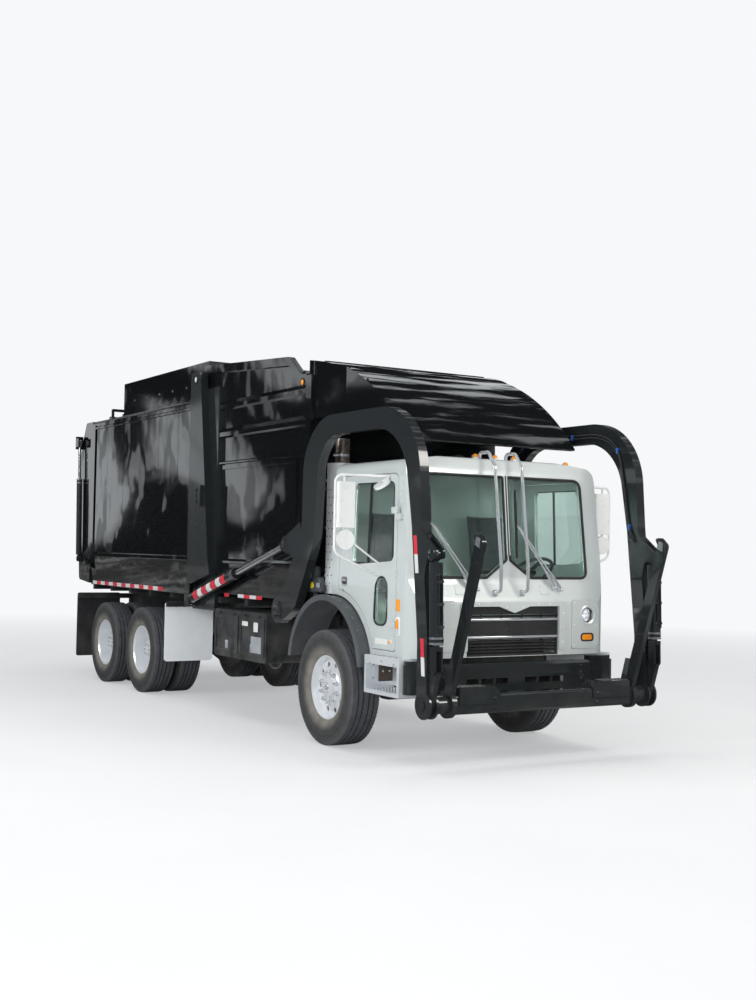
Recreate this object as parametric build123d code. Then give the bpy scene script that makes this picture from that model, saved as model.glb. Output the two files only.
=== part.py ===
from build123d import *
import os
from math import atan2, cos, degrees, hypot, pi, radians, sin

# A three-axle front-loading refuse truck with a forward-control cab, parked with its lift arms
# down and its forks folded up. Millimetres, +Z up, ground at z = 0, front towards -Y.
# Working coordinates have y = 0 at the front axle. Every piece is shifted along Y at the end,
# so that the origin is at the middle of the footprint, on the ground.

os.makedirs("parts", exist_ok=True)

# Running clearances
fit_gap = 0.3
seam_gap = 6.0
pin_gap = 0.5
slide_gap = 8.0

# Axles and wheels: tyre radius, tyre width, flange plane of the outer rim
wheelbase = 4715.0
tandem_spacing = 1324.0
front_tyre_r = 538.0
front_tyre_w = 315.0
front_flange_x = 1194.0
rear_tyre_r = 527.0
rear_tyre_w = 279.0
rear_flange_x = 1207.0
twin_spacing = 343.0
rim_seat_r = 286.0
rim_flange_r = 298.0
front_rim_w = 238.0
rear_rim_w = 218.0
rim_wall = 12.0
hand_holes = 10
hand_hole_r = 24.0
hand_ring_front = 217.0
hand_ring_rear = 234.0
flap_gap = 825.0
kingpin_x = 870.0
kingpin_r = 24.0
spindle_r = 42.0

# Door hinges: vertical axis at the door's front edge, heights of the two barrels
door_hinge = (-1050.0, 1118.0)
hinge_heights = (1150.0, 2150.0)
hinge_r = 14.0
hinge_pin_r = 7.0

# Chassis
rail_x = 430.0
rail_h = 270.0
rail_top = 1025.0
rail_flange = 85.0
rail_wall = 9.0
rail_front = -1180.0
rail_rear = 7120.0
subframe_h = 245.0

# Cab
cab_half = 1100.0
cab_half_top = 1058.0
cab_front = -1290.0
cab_rear = 130.0
cab_bottom = 900.0
cab_side_top = 2630.0
cab_crown = 2700.0
cowl_z = 1380.0
cowl_peak = (250.0, 1758.0)
grille_half = 513.0
grille_low = 905.0
grille_top = 1346.0
grille_notch = (171.0, 1287.0)
grille_frame_w = 76.0
grille_pitch = 28.0
mirror_place = (1480.0, -760.0)
rail_places = (-190.0, 110.0)
stack_place = (-885.0, 330.0)
stack_r = 70.0
shield_r = 158.0
lamp_x = 845.0
head_lamp = (1261.0, 74.0)
turn_lamp = (1056.0, 132.0, 66.0)
screen_bottom_z = 1575.0
screen_bottom_y = -1207.0
screen_top_z = 2545.0
screen_top_y = -1110.0
cab_wall = 45.0
arch_y = 50.0
arch_z = 700.0
arch_r = 705.0
tunnel_half = 480.0
tunnel_top = 1045.0
glass_t = 8.0
bumper_front = -1340.0
bumper_back = -1240.0
bumper_low = 600.0
bumper_high = 850.0
bumper_end = 863.0

# Body and hopper
body_half = 1200.0
body_front = 3335.0
body_rear = 6780.0
body_floor = 1270.0
body_top = 3520.0
body_wall = 35.0
body_fold = 1700.0
hopper_half = 1085.0
hopper_front = 560.0
hopper_floor = 1360.0
hopper_crest = 3930.0
hopper_brow = (1050.0, 3770.0)
hopper_lip = 3560.0
hopper_front_top = 3690.0
hopper_wall = 28.0
post_front_top = 3070.0
post_front_foot = 2760.0
post_top = 3830.0
post_proud = 25.0
tail_depth = 500.0

# Lift arms: pivot, side view outline and thickness
arm_pivot = (950.0, 1210.0)
arm_in = 1150.0
arm_out = 1240.0
arm_x = (arm_in + arm_out) / 2
cheek = 18.0
torque_tube_r = 75.0
lift_lug = (840.0, 1868.0)
lift_base = (3250.0, 1220.0)
lift_barrel_r = 60.0
lift_rod_r = 33.0
lift_barrel_len = 1260.0
lift_rod_in = 985.0
eye_w = 40.0
lug_r = 75.0
eye_r = 68.0
canopy_r = 2500.0
canopy_half = 960.0
canopy_t = 16.0
canopy_low = 3110.0

# Forks
fork_pivot = (-1700.0, 560.0)
fork_hub_r = 115.0
fork_beam = 164.0
fork_pin_r = 40.0
tine_x = 990.0
tine_w = 46.0
tine_d = 100.0
tine_top_z = 1970.0
tine_lean = 18.0
crank_pin = (-1830.0, 860.0)
crank_w = 40.0
fork_cyl_top = (-1800.0, 1800.0)
fork_barrel_r = 58.0
fork_rod_r = 28.0
fork_barrel_len = 735.0
fork_eye_r = 50.0

# Tailgate cylinders
gate_hinge = (6793.0, 3580.0)
gate_base = (7120.0, 1620.0)
gate_lug = (7200.0, 3250.0)
gate_ram_x = body_half + 48.0
gate_barrel_r = 38.0
gate_rod_r = 20.0
gate_barrel_len = 1120.0
gate_eye_r = 42.0

# Sliding top door
door_half = 990.0
top_door_front = 3340.0
top_door_len = 2820.0
top_door_low = 3600.0
top_door_high = 4000.0

nodes = {}


def node(name, *solids):
    """Keep the separate solids of one named piece."""
    flat = []
    for item in solids:
        flat.extend(item.solids())
    nodes[name] = flat


def block(x, y, z):
    """A box between the two limits given on each axis."""
    middle = Pos(sum(x) / 2, sum(y) / 2, sum(z) / 2)
    return middle * Box(x[1] - x[0], y[1] - y[0], z[1] - z[0])


def face_of(rows):
    """A closed outline from rows of first coordinate, second coordinate, corner radius."""
    line = FilletPolyline(*[(a, b) for a, b, r in rows], radius=[r for a, b, r in rows], close=True)
    return make_face(line)


def side_profile(rows, x):
    """An outline of (y, z, radius) rows, from x[0] to x[1]."""
    plane = Plane((x[0], 0, 0), x_dir=(0, 1, 0), z_dir=(1, 0, 0))
    return extrude(plane * face_of(rows), x[1] - x[0])


def front_profile(rows, y):
    """An outline of (x, z, radius) rows, from y[0] to y[1]."""
    plane = Plane((0, y[1], 0), x_dir=(1, 0, 0), z_dir=(0, -1, 0))
    return extrude(plane * face_of(rows), y[1] - y[0])


def plan_profile(rows, z):
    """An outline of (x, y, radius) rows, from z[0] to z[1]."""
    return extrude(Pos(0, 0, z[0]) * face_of(rows), z[1] - z[0])


def rod_x(centre, r, x):
    """A cylinder along X, about centre (y, z)."""
    return Pos(sum(x) / 2, centre[0], centre[1]) * Rot(0, 90, 0) * Cylinder(r, x[1] - x[0])


def rod(start, end, r):
    """A cylinder between two points."""
    along = Vector(end) - Vector(start)
    base = Plane(origin=start, z_dir=along)
    return base * Cylinder(r, along.length, align=(Align.CENTER, Align.CENTER, Align.MIN))


def turned(rows, centre, x_zero, out):
    """Rows of (distance outboard of x_zero, radius) turned about the X line through centre."""
    pts = [(x_zero + out * dx, centre[1] + r) for dx, r in rows]
    plane = Plane((0, centre[0], 0), x_dir=(1, 0, 0), z_dir=(0, -1, 0))
    face = plane * make_face(Polyline(*pts, close=True))
    return revolve(face, Axis((0, centre[0], centre[1]), (1, 0, 0)), 360)


def mirrored(part):
    return mirror(part, about=Plane.YZ)


def both(part):
    return part, mirrored(part)


def polar(centre, r, angle):
    """The (y, z) point at an angle in degrees from +Y towards +Z."""
    return centre[0] + r * cos(radians(angle)), centre[1] + r * sin(radians(angle))


def tyre(centre, x_mid, r, width, rim_w, out):
    """A tyre as one closed ring: tread, rounded shoulders, bulged walls, beads."""
    half, bead = width / 2, rim_w / 2 - 18
    rows = [
        (-bead, rim_seat_r + fit_gap),
        (-half, (rim_seat_r + r) / 2 - 12),
        (-half + 16, r - 24),
        (-half + 42, r),
        (half - 42, r),
        (half - 16, r - 24),
        (half, (rim_seat_r + r) / 2 - 12),
        (bead, rim_seat_r + fit_gap),
    ]
    return turned(rows, centre, x_mid, out)


def hand_hole_cuts(centre, ring, x_near, x_far):
    """Round hand holes through a wheel's disc, evenly spaced on a ring."""
    cuts = None
    for k in range(hand_holes):
        hole = rod_x(polar(centre, ring, 360 * k / hand_holes), hand_hole_r,
                     sorted((x_near, x_far)))
        cuts = hole if cuts is None else cuts + hole
    return cuts


def front_wheel(side, out):
    """Disc wheel and hub on a steering knuckle's spindle. out is +1 on the left."""
    centre = (0.0, front_tyre_r)
    mid = front_flange_x - front_rim_w / 2
    half = front_rim_w / 2
    rows = [
        (-half, rim_flange_r), (-half + 10, rim_flange_r), (-half + 12, rim_seat_r),
        (half - 12, rim_seat_r), (half - 10, rim_flange_r), (half, rim_flange_r),
        (half, rim_flange_r - rim_wall), (52.0, rim_seat_r - rim_wall), (70.0, 165.0),
        (82.0, 150.0), (82.0, 95.0), (112.0, 88.0), (118.0, 60.0), (118.0, 0.0),
        (78.0, 0.0), (78.0, spindle_r + pin_gap), (-88.0, spindle_r + pin_gap),
        (-88.0, 205.0), (-20.0, 205.0), (-20.0, 110.0), (66.0, 110.0), (58.0, 165.0),
        (38.0, rim_seat_r - rim_wall), (-half, rim_seat_r - rim_wall),
    ]
    node(f"front_tyre_{side}", tyre(centre, out * mid, front_tyre_r, front_tyre_w,
                                      front_rim_w, out))
    disc = turned(rows, centre, out * mid, out)
    node(f"front_wheel_{side}", disc - hand_hole_cuts(centre, hand_ring_front,
                                                      out * (mid + 25), out * (mid + 95)))


def twin_wheels(place, side, y, out):
    """Twin tyres, and both disc wheels with their hub as one piece."""
    centre = (y, rear_tyre_r)
    outer = rear_flange_x - rear_rim_w / 2
    inner = outer - twin_spacing
    half = rear_rim_w / 2
    split = twin_spacing / 2
    seat, lip = rim_seat_r, rim_flange_r
    bore = rim_seat_r - rim_wall
    rows = [
        (half, lip), (half, lip - rim_wall), (half - 14, bore), (-half + 26, bore),
        (-split + 28, 180.0), (-split + 28, 120.0), (20.0, 112.0), (26.0, 85.0), (26.0, 0.0),
        (-30.0, 0.0), (-30.0, spindle_r + pin_gap), (-split - 190, spindle_r + pin_gap),
        (-split - 190, 205.0), (-split - 50, 205.0), (-split - 28, 180.0),
        (-twin_spacing + half - 26, bore), (-twin_spacing - half + 14, bore),
        (-twin_spacing - half, lip - rim_wall), (-twin_spacing - half, lip),
        (-twin_spacing - half + 10, lip), (-twin_spacing - half + 12, seat),
        (-twin_spacing + half - 12, seat), (-twin_spacing + half - 10, lip),
        (-twin_spacing + half, lip), (-twin_spacing + half, lip - rim_wall - 2),
        (-split, 190.0), (-half, lip - rim_wall - 2), (-half, lip), (-half + 10, lip),
        (-half + 12, seat), (half - 12, seat), (half - 10, lip),
    ]
    tyres = [tyre(centre, out * x, rear_tyre_r, rear_tyre_w, rear_rim_w, out)
             for x in (outer, inner)]
    node(f"{place}_tyres_{side}", *tyres)
    discs = turned(rows, centre, out * outer, out)
    node(f"{place}_wheels_{side}", discs - hand_hole_cuts(
        centre, hand_ring_rear, out * (outer - twin_spacing + 20), out * (outer - 20)))


def knuckle(side, out):
    """Yoke about the beam's end, kingpin and spindle."""
    zc = front_tyre_r
    lugs = [
        Pos(out * kingpin_x, 0, z) * Cylinder(52, 40) for z in (zc - 82, zc + 82)
    ]
    pin = Pos(out * kingpin_x, 0, zc) * Cylinder(kingpin_r, 204)
    x_near, x_far = sorted((out * (kingpin_x + 60), out * (kingpin_x + 92)))
    web = block((x_near, x_far), (-52, 52), (zc - 102, zc + 102))
    arms = [
        block(sorted((out * kingpin_x, out * (kingpin_x + 80))), (-40, 40), (z - 20, z + 20))
        for z in (zc - 82, zc + 82)
    ]
    reach = front_flange_x - front_rim_w / 2 + 70
    spindle = rod_x((0, zc), spindle_r, sorted((out * (kingpin_x + 70), out * reach)))
    body = web + pin + spindle
    for piece in lugs + arms:
        body += piece
    node(f"knuckle_{side}", body)


def axles_and_springs():
    """Front I-beam, two drive axles, and the springs and walking beams that carry them."""
    zc = front_tyre_r
    beam = front_profile(
        [(-kingpin_x, zc - 50, 0), (-640, zc - 62, 60), (-560, zc - 140, 60), (560, zc - 140, 60),
         (640, zc - 62, 60), (kingpin_x, zc - 50, 0), (kingpin_x, zc + 50, 0),
         (600, zc + 45, 60), (520, zc - 50, 60), (-520, zc - 50, 60), (-600, zc + 45, 60),
         (-kingpin_x, zc + 50, 0)], (-48, 48))
    for out in (-1, 1):
        beam += Pos(out * kingpin_x, 0, zc) * Cylinder(50, 112)
    for out in (-1, 1):
        beam -= Pos(out * kingpin_x, 0, zc) * Cylinder(kingpin_r + pin_gap, 300)
    node("front_axle", beam)
    housings = []
    reach = rear_flange_x - rear_rim_w / 2 - 45
    for y in (wheelbase, wheelbase + tandem_spacing):
        half_rows = [(reach, spindle_r), (545, spindle_r), (545, 72), (260, 72), (150, 150),
                     (90, 200)]
        rows = [(reach, 0)] + half_rows + [(-x, r) for x, r in reversed(half_rows)]
        housings.append(turned(rows + [(-reach, 0)], (y, rear_tyre_r), 0, 1))
    node("rear_axles", *housings)
    springs = []
    leaf_top = zc + 118
    low = rail_top - rail_h - 20
    spring_rows = [(-620, low, 0), (0, zc + 55, 300), (620, low, 0), (620, low + 18, 0),
                   (0, leaf_top, 300), (-620, low + 18, 0)]
    for out in (-1, 1):
        x = sorted((out * 345, out * 425))
        spring = side_profile(spring_rows, x)
        spring += block(x, (-90, 90), (zc - 50 + fit_gap, leaf_top))
        for y in (-600, 600):
            spring += block(x, (y - 30, y + 30), (low, rail_top - rail_h - fit_gap))
        springs.append(spring)
    y_mid = wheelbase + tandem_spacing / 2
    half = tandem_spacing / 2
    ends = half + 110
    beam_rows = [(y_mid - ends, 400, 30), (y_mid + ends, 400, 30), (y_mid + ends, 500, 20),
                 (y_mid + half - 180, 500, 60), (y_mid + 130, 620, 40), (y_mid + 110, 755, 0),
                 (y_mid - 110, 755, 0), (y_mid - 130, 620, 40), (y_mid - half + 180, 500, 60),
                 (y_mid - ends, 500, 20)]
    for out in (-1, 1):
        walking = side_profile(beam_rows, sorted((out * 345, out * 425)))
        for y in (wheelbase, wheelbase + tandem_spacing):
            walking -= rod_x((y, rear_tyre_r), 72 + fit_gap, (-500, 500))
        springs.append(walking)
    node("springs", *springs)


def chassis():
    """C-section rails with crossmembers, engine block, and the subframe under the body."""
    low = rail_top - rail_h
    frame = None
    for out in (-1, 1):
        web = block(sorted((out * rail_x, out * (rail_x - rail_wall))), (rail_front, rail_rear),
                    (low, rail_top))
        for z in (low, rail_top - rail_wall):
            web += block(sorted((out * rail_x, out * (rail_x - rail_flange))),
                         (rail_front, rail_rear), (z, z + rail_wall))
        frame = web if frame is None else frame + web
    inner = rail_x - rail_wall
    for y in (rail_front + 40, 1560, 2700, 3900, 5370, 6700, rail_rear - 40):
        frame += block((-inner, inner), (y - 30, y + 30), (low + 40, rail_top - 40))
    for out in (-1, 1):
        frame += block(sorted((out * 350, out * rail_x)), (-1040, -700), (rail_top, tunnel_top))
        frame += block(sorted((out * 360, out * rail_x)), (85, 130), (rail_top, 1400))
    node("frame_rails", frame)
    engine = block((-310, 310), (-215, 760), (640, 1290))
    gearbox = block((-210, 210), (760, 1420), (690, 1040))
    engine += gearbox
    for out in (-1, 1):
        engine += block(sorted((out * 300, out * (rail_x - rail_wall))), (160, 260), (790, 860))
    node("engine", engine)
    top = rail_top + subframe_h
    sub = None
    for out in (-1, 1):
        sill = block(sorted((out * 345, out * rail_x)), (1120, rail_rear), (rail_top, top))
        sub = sill if sub is None else sub + sill
    for y in (1300, 2000, 2700, 3400, 4100, 4800, 5500, 6200, 6900):
        sub += block((-hopper_half, hopper_half), (y - 40, y + 40), (top - 70, top))
    for out in (-1, 1):
        sub += block(sorted((out * (rail_x - 10), out * 1235)),
                     (wheelbase - flap_gap - 40, wheelbase - flap_gap), (1100, 1160))
    node("subframe", sub)
    bar = block((-560, 560), (rail_rear + 20, rail_rear + 120), (560, 680))
    bar += block((-1225, 1225), (rail_rear + 20, rail_rear + 60), (1060, 1130))
    for out in (-1, 1):
        bar += block(sorted((out * 390, out * 470)), (rail_rear, rail_rear + 60), (560, 1130))
    node("rear_bumper", bar)
    tank = side_profile([(1310, 640, 40), (2590, 640, 40), (2590, 1150, 40), (1310, 1150, 40)],
                        (rail_x, 1180))
    for y0, y1 in ((1340, 1930), (1970, 2560)):
        tank += block((1175, 1192), (y0, y1), (690, 1090))
        tank -= block((1184, 1200), (y0 + 40, y1 - 40), (730, 1050))
    node("side_tanks", *both(tank))


def cab_solid():
    """The cab's outer form: side, plan and front outlines crossed with each other."""
    side = side_profile(
        [(cab_front, cab_bottom, 0), (cab_front, cowl_z, 250),
         (screen_bottom_y, screen_bottom_z, 250), (screen_top_y, screen_top_z, 300),
         (screen_top_y + 64, cab_crown - 20, 90), (-500, cab_crown, 900),
         (cab_rear, cab_crown - 30, 60), (cab_rear, cab_bottom, 0)],
        (-cab_half - 50, cab_half + 50))
    plan = plan_profile(
        [(-cab_half, cab_rear, 40), (-cab_half, cab_front, 150), (cab_half, cab_front, 150),
         (cab_half, cab_rear, 40)], (cab_bottom - 50, cab_crown + 100))
    front_view = front_profile(
        [(-cab_half - 20, cab_bottom - 50, 0), (-cab_half - 20, 960, 0),
         (-cab_half_top, cab_side_top, 90), (-500, cab_crown + 1, 900), (500, cab_crown + 1, 900),
         (cab_half_top, cab_side_top, 90), (cab_half + 20, 960, 0),
         (cab_half + 20, cab_bottom - 50, 0)], (cab_front - 50, cab_rear + 50))
    return side & plan & front_view


def cab_cavity():
    """The cab's inner room, with plain sharp corners."""
    t = cab_wall
    front, rear, low = cab_front + t, cab_rear - t, cab_bottom + t
    side = side_profile(
        [(front, low, 0), (front, cowl_z - 10, 0), (screen_bottom_y + t, screen_bottom_z - 10, 0),
         (screen_top_y + t, screen_top_z, 0), (screen_top_y + 140, cab_crown - 35 - t, 0),
         (rear, cab_crown - 35 - t, 0), (rear, low, 0)], (-cab_half, cab_half))
    half = cab_half - t
    plan = plan_profile(
        [(-half, rear + 9, 0), (-half, front + 80, 0), (-half + 80, front - 9, 0),
         (half - 80, front - 9, 0), (half, front + 80, 0), (half, rear + 9, 0)],
        (low - 50, cab_crown))
    top = cab_half_top - t
    front_view = front_profile(
        [(-half - 20, low - 40, 0), (-half - 20, 960, 0), (-top, cab_side_top - t - 20, 0),
         (-top + 150, cab_crown, 0), (top - 150, cab_crown, 0), (top, cab_side_top - t - 20, 0),
         (half + 20, 960, 0), (half + 20, low - 40, 0)], (front - 50, rear + 50))
    room = side & plan & front_view
    room -= block((-tunnel_half - t, tunnel_half + t), (-2000, 2000), (0, tunnel_top + t))
    return room - rod_x((arch_y, arch_z), arch_r + t, (-2000, 2000))


def door_outline(gap):
    """The door's outline, drawn in by a gap, as a prism through the left side of the cab."""
    rows = [(-1045 + gap, 945 + gap, 30), (-20 - gap, 945 + gap, 0), (-20 - gap, 2515 - gap, 70),
            (-1000 + gap, 2515 - gap, 70), (-1045 + gap, 1450, 200)]
    prism = side_profile(rows, (cab_half - 190, cab_half + 60))
    arch = rod_x((arch_y, arch_z), arch_r + cab_wall + 8 + gap, (cab_half - 250, cab_half + 120))
    return prism - arch


def window_outline(gap):
    """The door's main window and the low oval one, as two prisms through the left side."""
    x = (cab_half - 190, cab_half + 60)
    low, top, front, rear = 1690 + gap, 2440 - gap, -975 + gap, -250 - gap
    main = side_profile([(front, low + 45, 60), (rear, low, 60), (rear, top, 60),
                         (front + 35, top, 60)], x)
    front, rear, low, top = -902 + gap, -675 - gap, 1155 + gap, 1600 - gap
    return main, side_profile([(front, low, 112 - gap), (rear, low, 112 - gap),
                               (rear, top, 112 - gap), (front, top, 112 - gap)], x)


def screen_outline(gap):
    """The left windscreen pane's outline, as a prism through the cab's front."""
    low, top = screen_bottom_z + 25 + gap, screen_top_z - 30 - gap
    peak_x, peak_z = cowl_peak
    return front_profile([(22 + gap, peak_z + gap, 0), (peak_x, low, 70), (905 - gap, low, 70),
                          (880 - gap, top, 90), (22 + gap, top, 30)], (cab_front - 50, -1000))


def side_surface(z):
    """The cab side's distance from the middle plane at a height."""
    return min(cab_half, cab_half + 20 - (z - 960) * (20 + cab_half - cab_half_top) /
               (cab_side_top - 960))


def door_hinges():
    """The left door's hinge leaves and barrels: those of the door, those of the cab."""
    hy, hx = door_hinge
    moving, fixed = [], []
    for z in hinge_heights:
        face = side_surface(z + 40)
        axis = Pos(hx, hy, z)
        reach = hx - face - 5
        leaf = Pos(0, 0, 31) * Cylinder(hinge_r, 58)
        leaf += Pos(-reach / 2, 42.5, 31) * Box(reach, 85, 58)
        leaf += Pos(face - hx, 67.5, 31) * Box(24, 35, 58)
        moving.append(axis * (leaf - Cylinder(hinge_pin_r + pin_gap, 200)))
        foot = Pos(0, 0, -25) * Cylinder(hinge_r, 50) + Pos(0, 0, 20) * Cylinder(hinge_pin_r, 70)
        foot += Pos((face - 8 - hx) / 2, -25, -25) * Box(hx - face + 8, 50, 50)
        fixed.append(axis * foot)
    return moving, fixed


def cab():
    """Hollow cab shell, its two doors and all its glass."""
    walls = cab_solid() - cab_cavity()
    walls -= block((-tunnel_half, tunnel_half), (cab_front + cab_wall, 2000), (0, tunnel_top))
    walls -= rod_x((arch_y, arch_z), arch_r, (-2000, 2000))
    windows, peep = window_outline(0)
    moving, fixed = door_hinges()
    door = (walls & door_outline(seam_gap)) - windows - peep + moving[0] + moving[1]
    node("door_left", door)
    node("door_right", mirrored(door))
    opening = door_outline(0)
    shell = walls - opening - mirrored(opening)
    for piece in fixed:
        shell = shell + piece + mirrored(piece)
    shell = shell - screen_outline(0) - mirrored(screen_outline(0))
    shell += grille_outline(grille_frame_w, (cab_front - 14, cab_front + 12))
    shell -= grille_outline(0, (cab_front - 40, cab_front + cab_wall + 5))
    panel = front_profile([(665, 955, 20), (985, 955, 90), (985, 1400, 90), (665, 1400, 20)],
                          (cab_front - 12, cab_front + 25))
    shell = shell + panel + mirrored(panel)
    for lamp in cab_lamps(fit_gap):
        shell = shell - lamp - mirrored(lamp)
    node("cab_shell", shell)

    near, far = 16, 16 + glass_t
    slab = side_profile([(screen_bottom_y + near, screen_bottom_z, 0),
                         (screen_top_y + near, screen_top_z, 0),
                         (screen_top_y + far, screen_top_z, 0),
                         (screen_bottom_y + far, screen_bottom_z, 0)], (0, cab_half))
    pane = slab & screen_outline(fit_gap)
    node("windscreen", pane, mirrored(pane))
    foot, head = cab_half + 20, cab_half_top
    slab = front_profile([(foot - near, 960, 0), (head - near, cab_side_top, 0),
                          (head - far, cab_side_top, 0), (foot - far, 960, 0)], (-1100, 0))
    windows, peep = window_outline(fit_gap)
    node("door_glass_left", slab & windows, slab & peep)
    node("door_glass_right", mirrored(slab & windows), mirrored(slab & peep))


def grille_outline(margin, y):
    """The grille's outline with its V notch, as a prism. A margin gives its frame's outside."""
    half, low, top = grille_half + margin, grille_low, grille_top + margin / 2
    notch_x, notch_z = grille_notch
    if margin:
        return front_profile([(-half, low + 50, 0), (half, low + 50, 0), (half, top, 25),
                              (-half, top, 25)], y)
    return front_profile([(-half, low, 0), (half, low, 0), (half, top, 0), (notch_x, top, 0),
                          (0, notch_z, 0), (-notch_x, top, 0), (-half, top, 0)], y)


def grille():
    """Slats in a border, with uprights behind them."""
    front = cab_front + 14
    border = (grille_outline(0, (front, front + 22))
              & block((-grille_half + fit_gap, grille_half - fit_gap), (front, front + 22),
                      (grille_low + fit_gap, grille_top)))
    border -= block((-grille_half + 16, grille_half - 16), (front - 5, front + 30),
                    (grille_low + 20, grille_notch[1] - 14))
    whole = border
    rows = int((grille_notch[1] - 20 - grille_low - 34) / grille_pitch) + 1
    for k in range(rows):
        z = grille_low + 34 + k * grille_pitch
        whole += side_profile([(front, z, 0), (front + 26, z + 12, 0), (front + 26, z + 20, 0),
                               (front, z + 10, 0)], (-grille_half + 10, grille_half - 10))
    for x in (-340, -114, 114, 340):
        whole += block((x - 5, x + 5), (front + 18, front + 30), (grille_low + 10,
                                                                  grille_notch[1]))
    return whole


def cab_lamps(gap):
    """The left headlamp and turn lamp, drawn out by a gap."""
    z, r = head_lamp
    head = rod((lamp_x, cab_front - 26, z), (lamp_x, cab_front + 40, z), r + gap)
    z, w, h = turn_lamp
    turn = front_profile([(lamp_x + a * (w / 2 + gap), z + b * (h / 2 + gap), h * 0.45)
                          for a, b in ((-1, -1), (1, -1), (1, 1), (-1, 1))],
                         (cab_front - 24, cab_front + 40))
    return head, turn


def door_mirror():
    """A rear-view mirror with a round one under it, in a tube loop from the left door."""
    x, y = mirror_place
    tube, top, foot = 11.0, 2485.0, 1605.0
    head = plan_profile([(x - 110, y - 30, 25), (x + 80, y - 30, 25), (x + 80, y + 22, 10),
                         (x - 110, y + 22, 10)], (2020, 2425))
    bowl = Pos(x - 10, y - 4, 1915) * Rot(90, 0, 0) * Cylinder(88, 40)
    stem = rod((x, y, 1900), (x, y, top), tube)
    outer = x + 102 - tube
    path = FilletPolyline((side_surface(top) + 4, y - 90, top), (outer, y, top),
                          (outer, y, foot + 190), (side_surface(foot) - 3, y + 60, foot),
                          radius=[70, 90])
    loop = sweep(Plane(origin=path @ 0, z_dir=path % 0) * Circle(tube), path=path)
    low_arm = rod((x - 30, y, 1930), (side_surface(1700) - 3, y + 10, 1700), 9)
    face = side_surface(top)
    look_down = rod((face + 2, y - 90, top), (face + 75, y - 90, top - 45), tube)
    look_down += Pos(face + 85, y - 90, top - 75) * Rot(0, 35, 0) * Cylinder(78, 26)
    return head + bowl + stem + loop + low_arm + look_down


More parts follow.
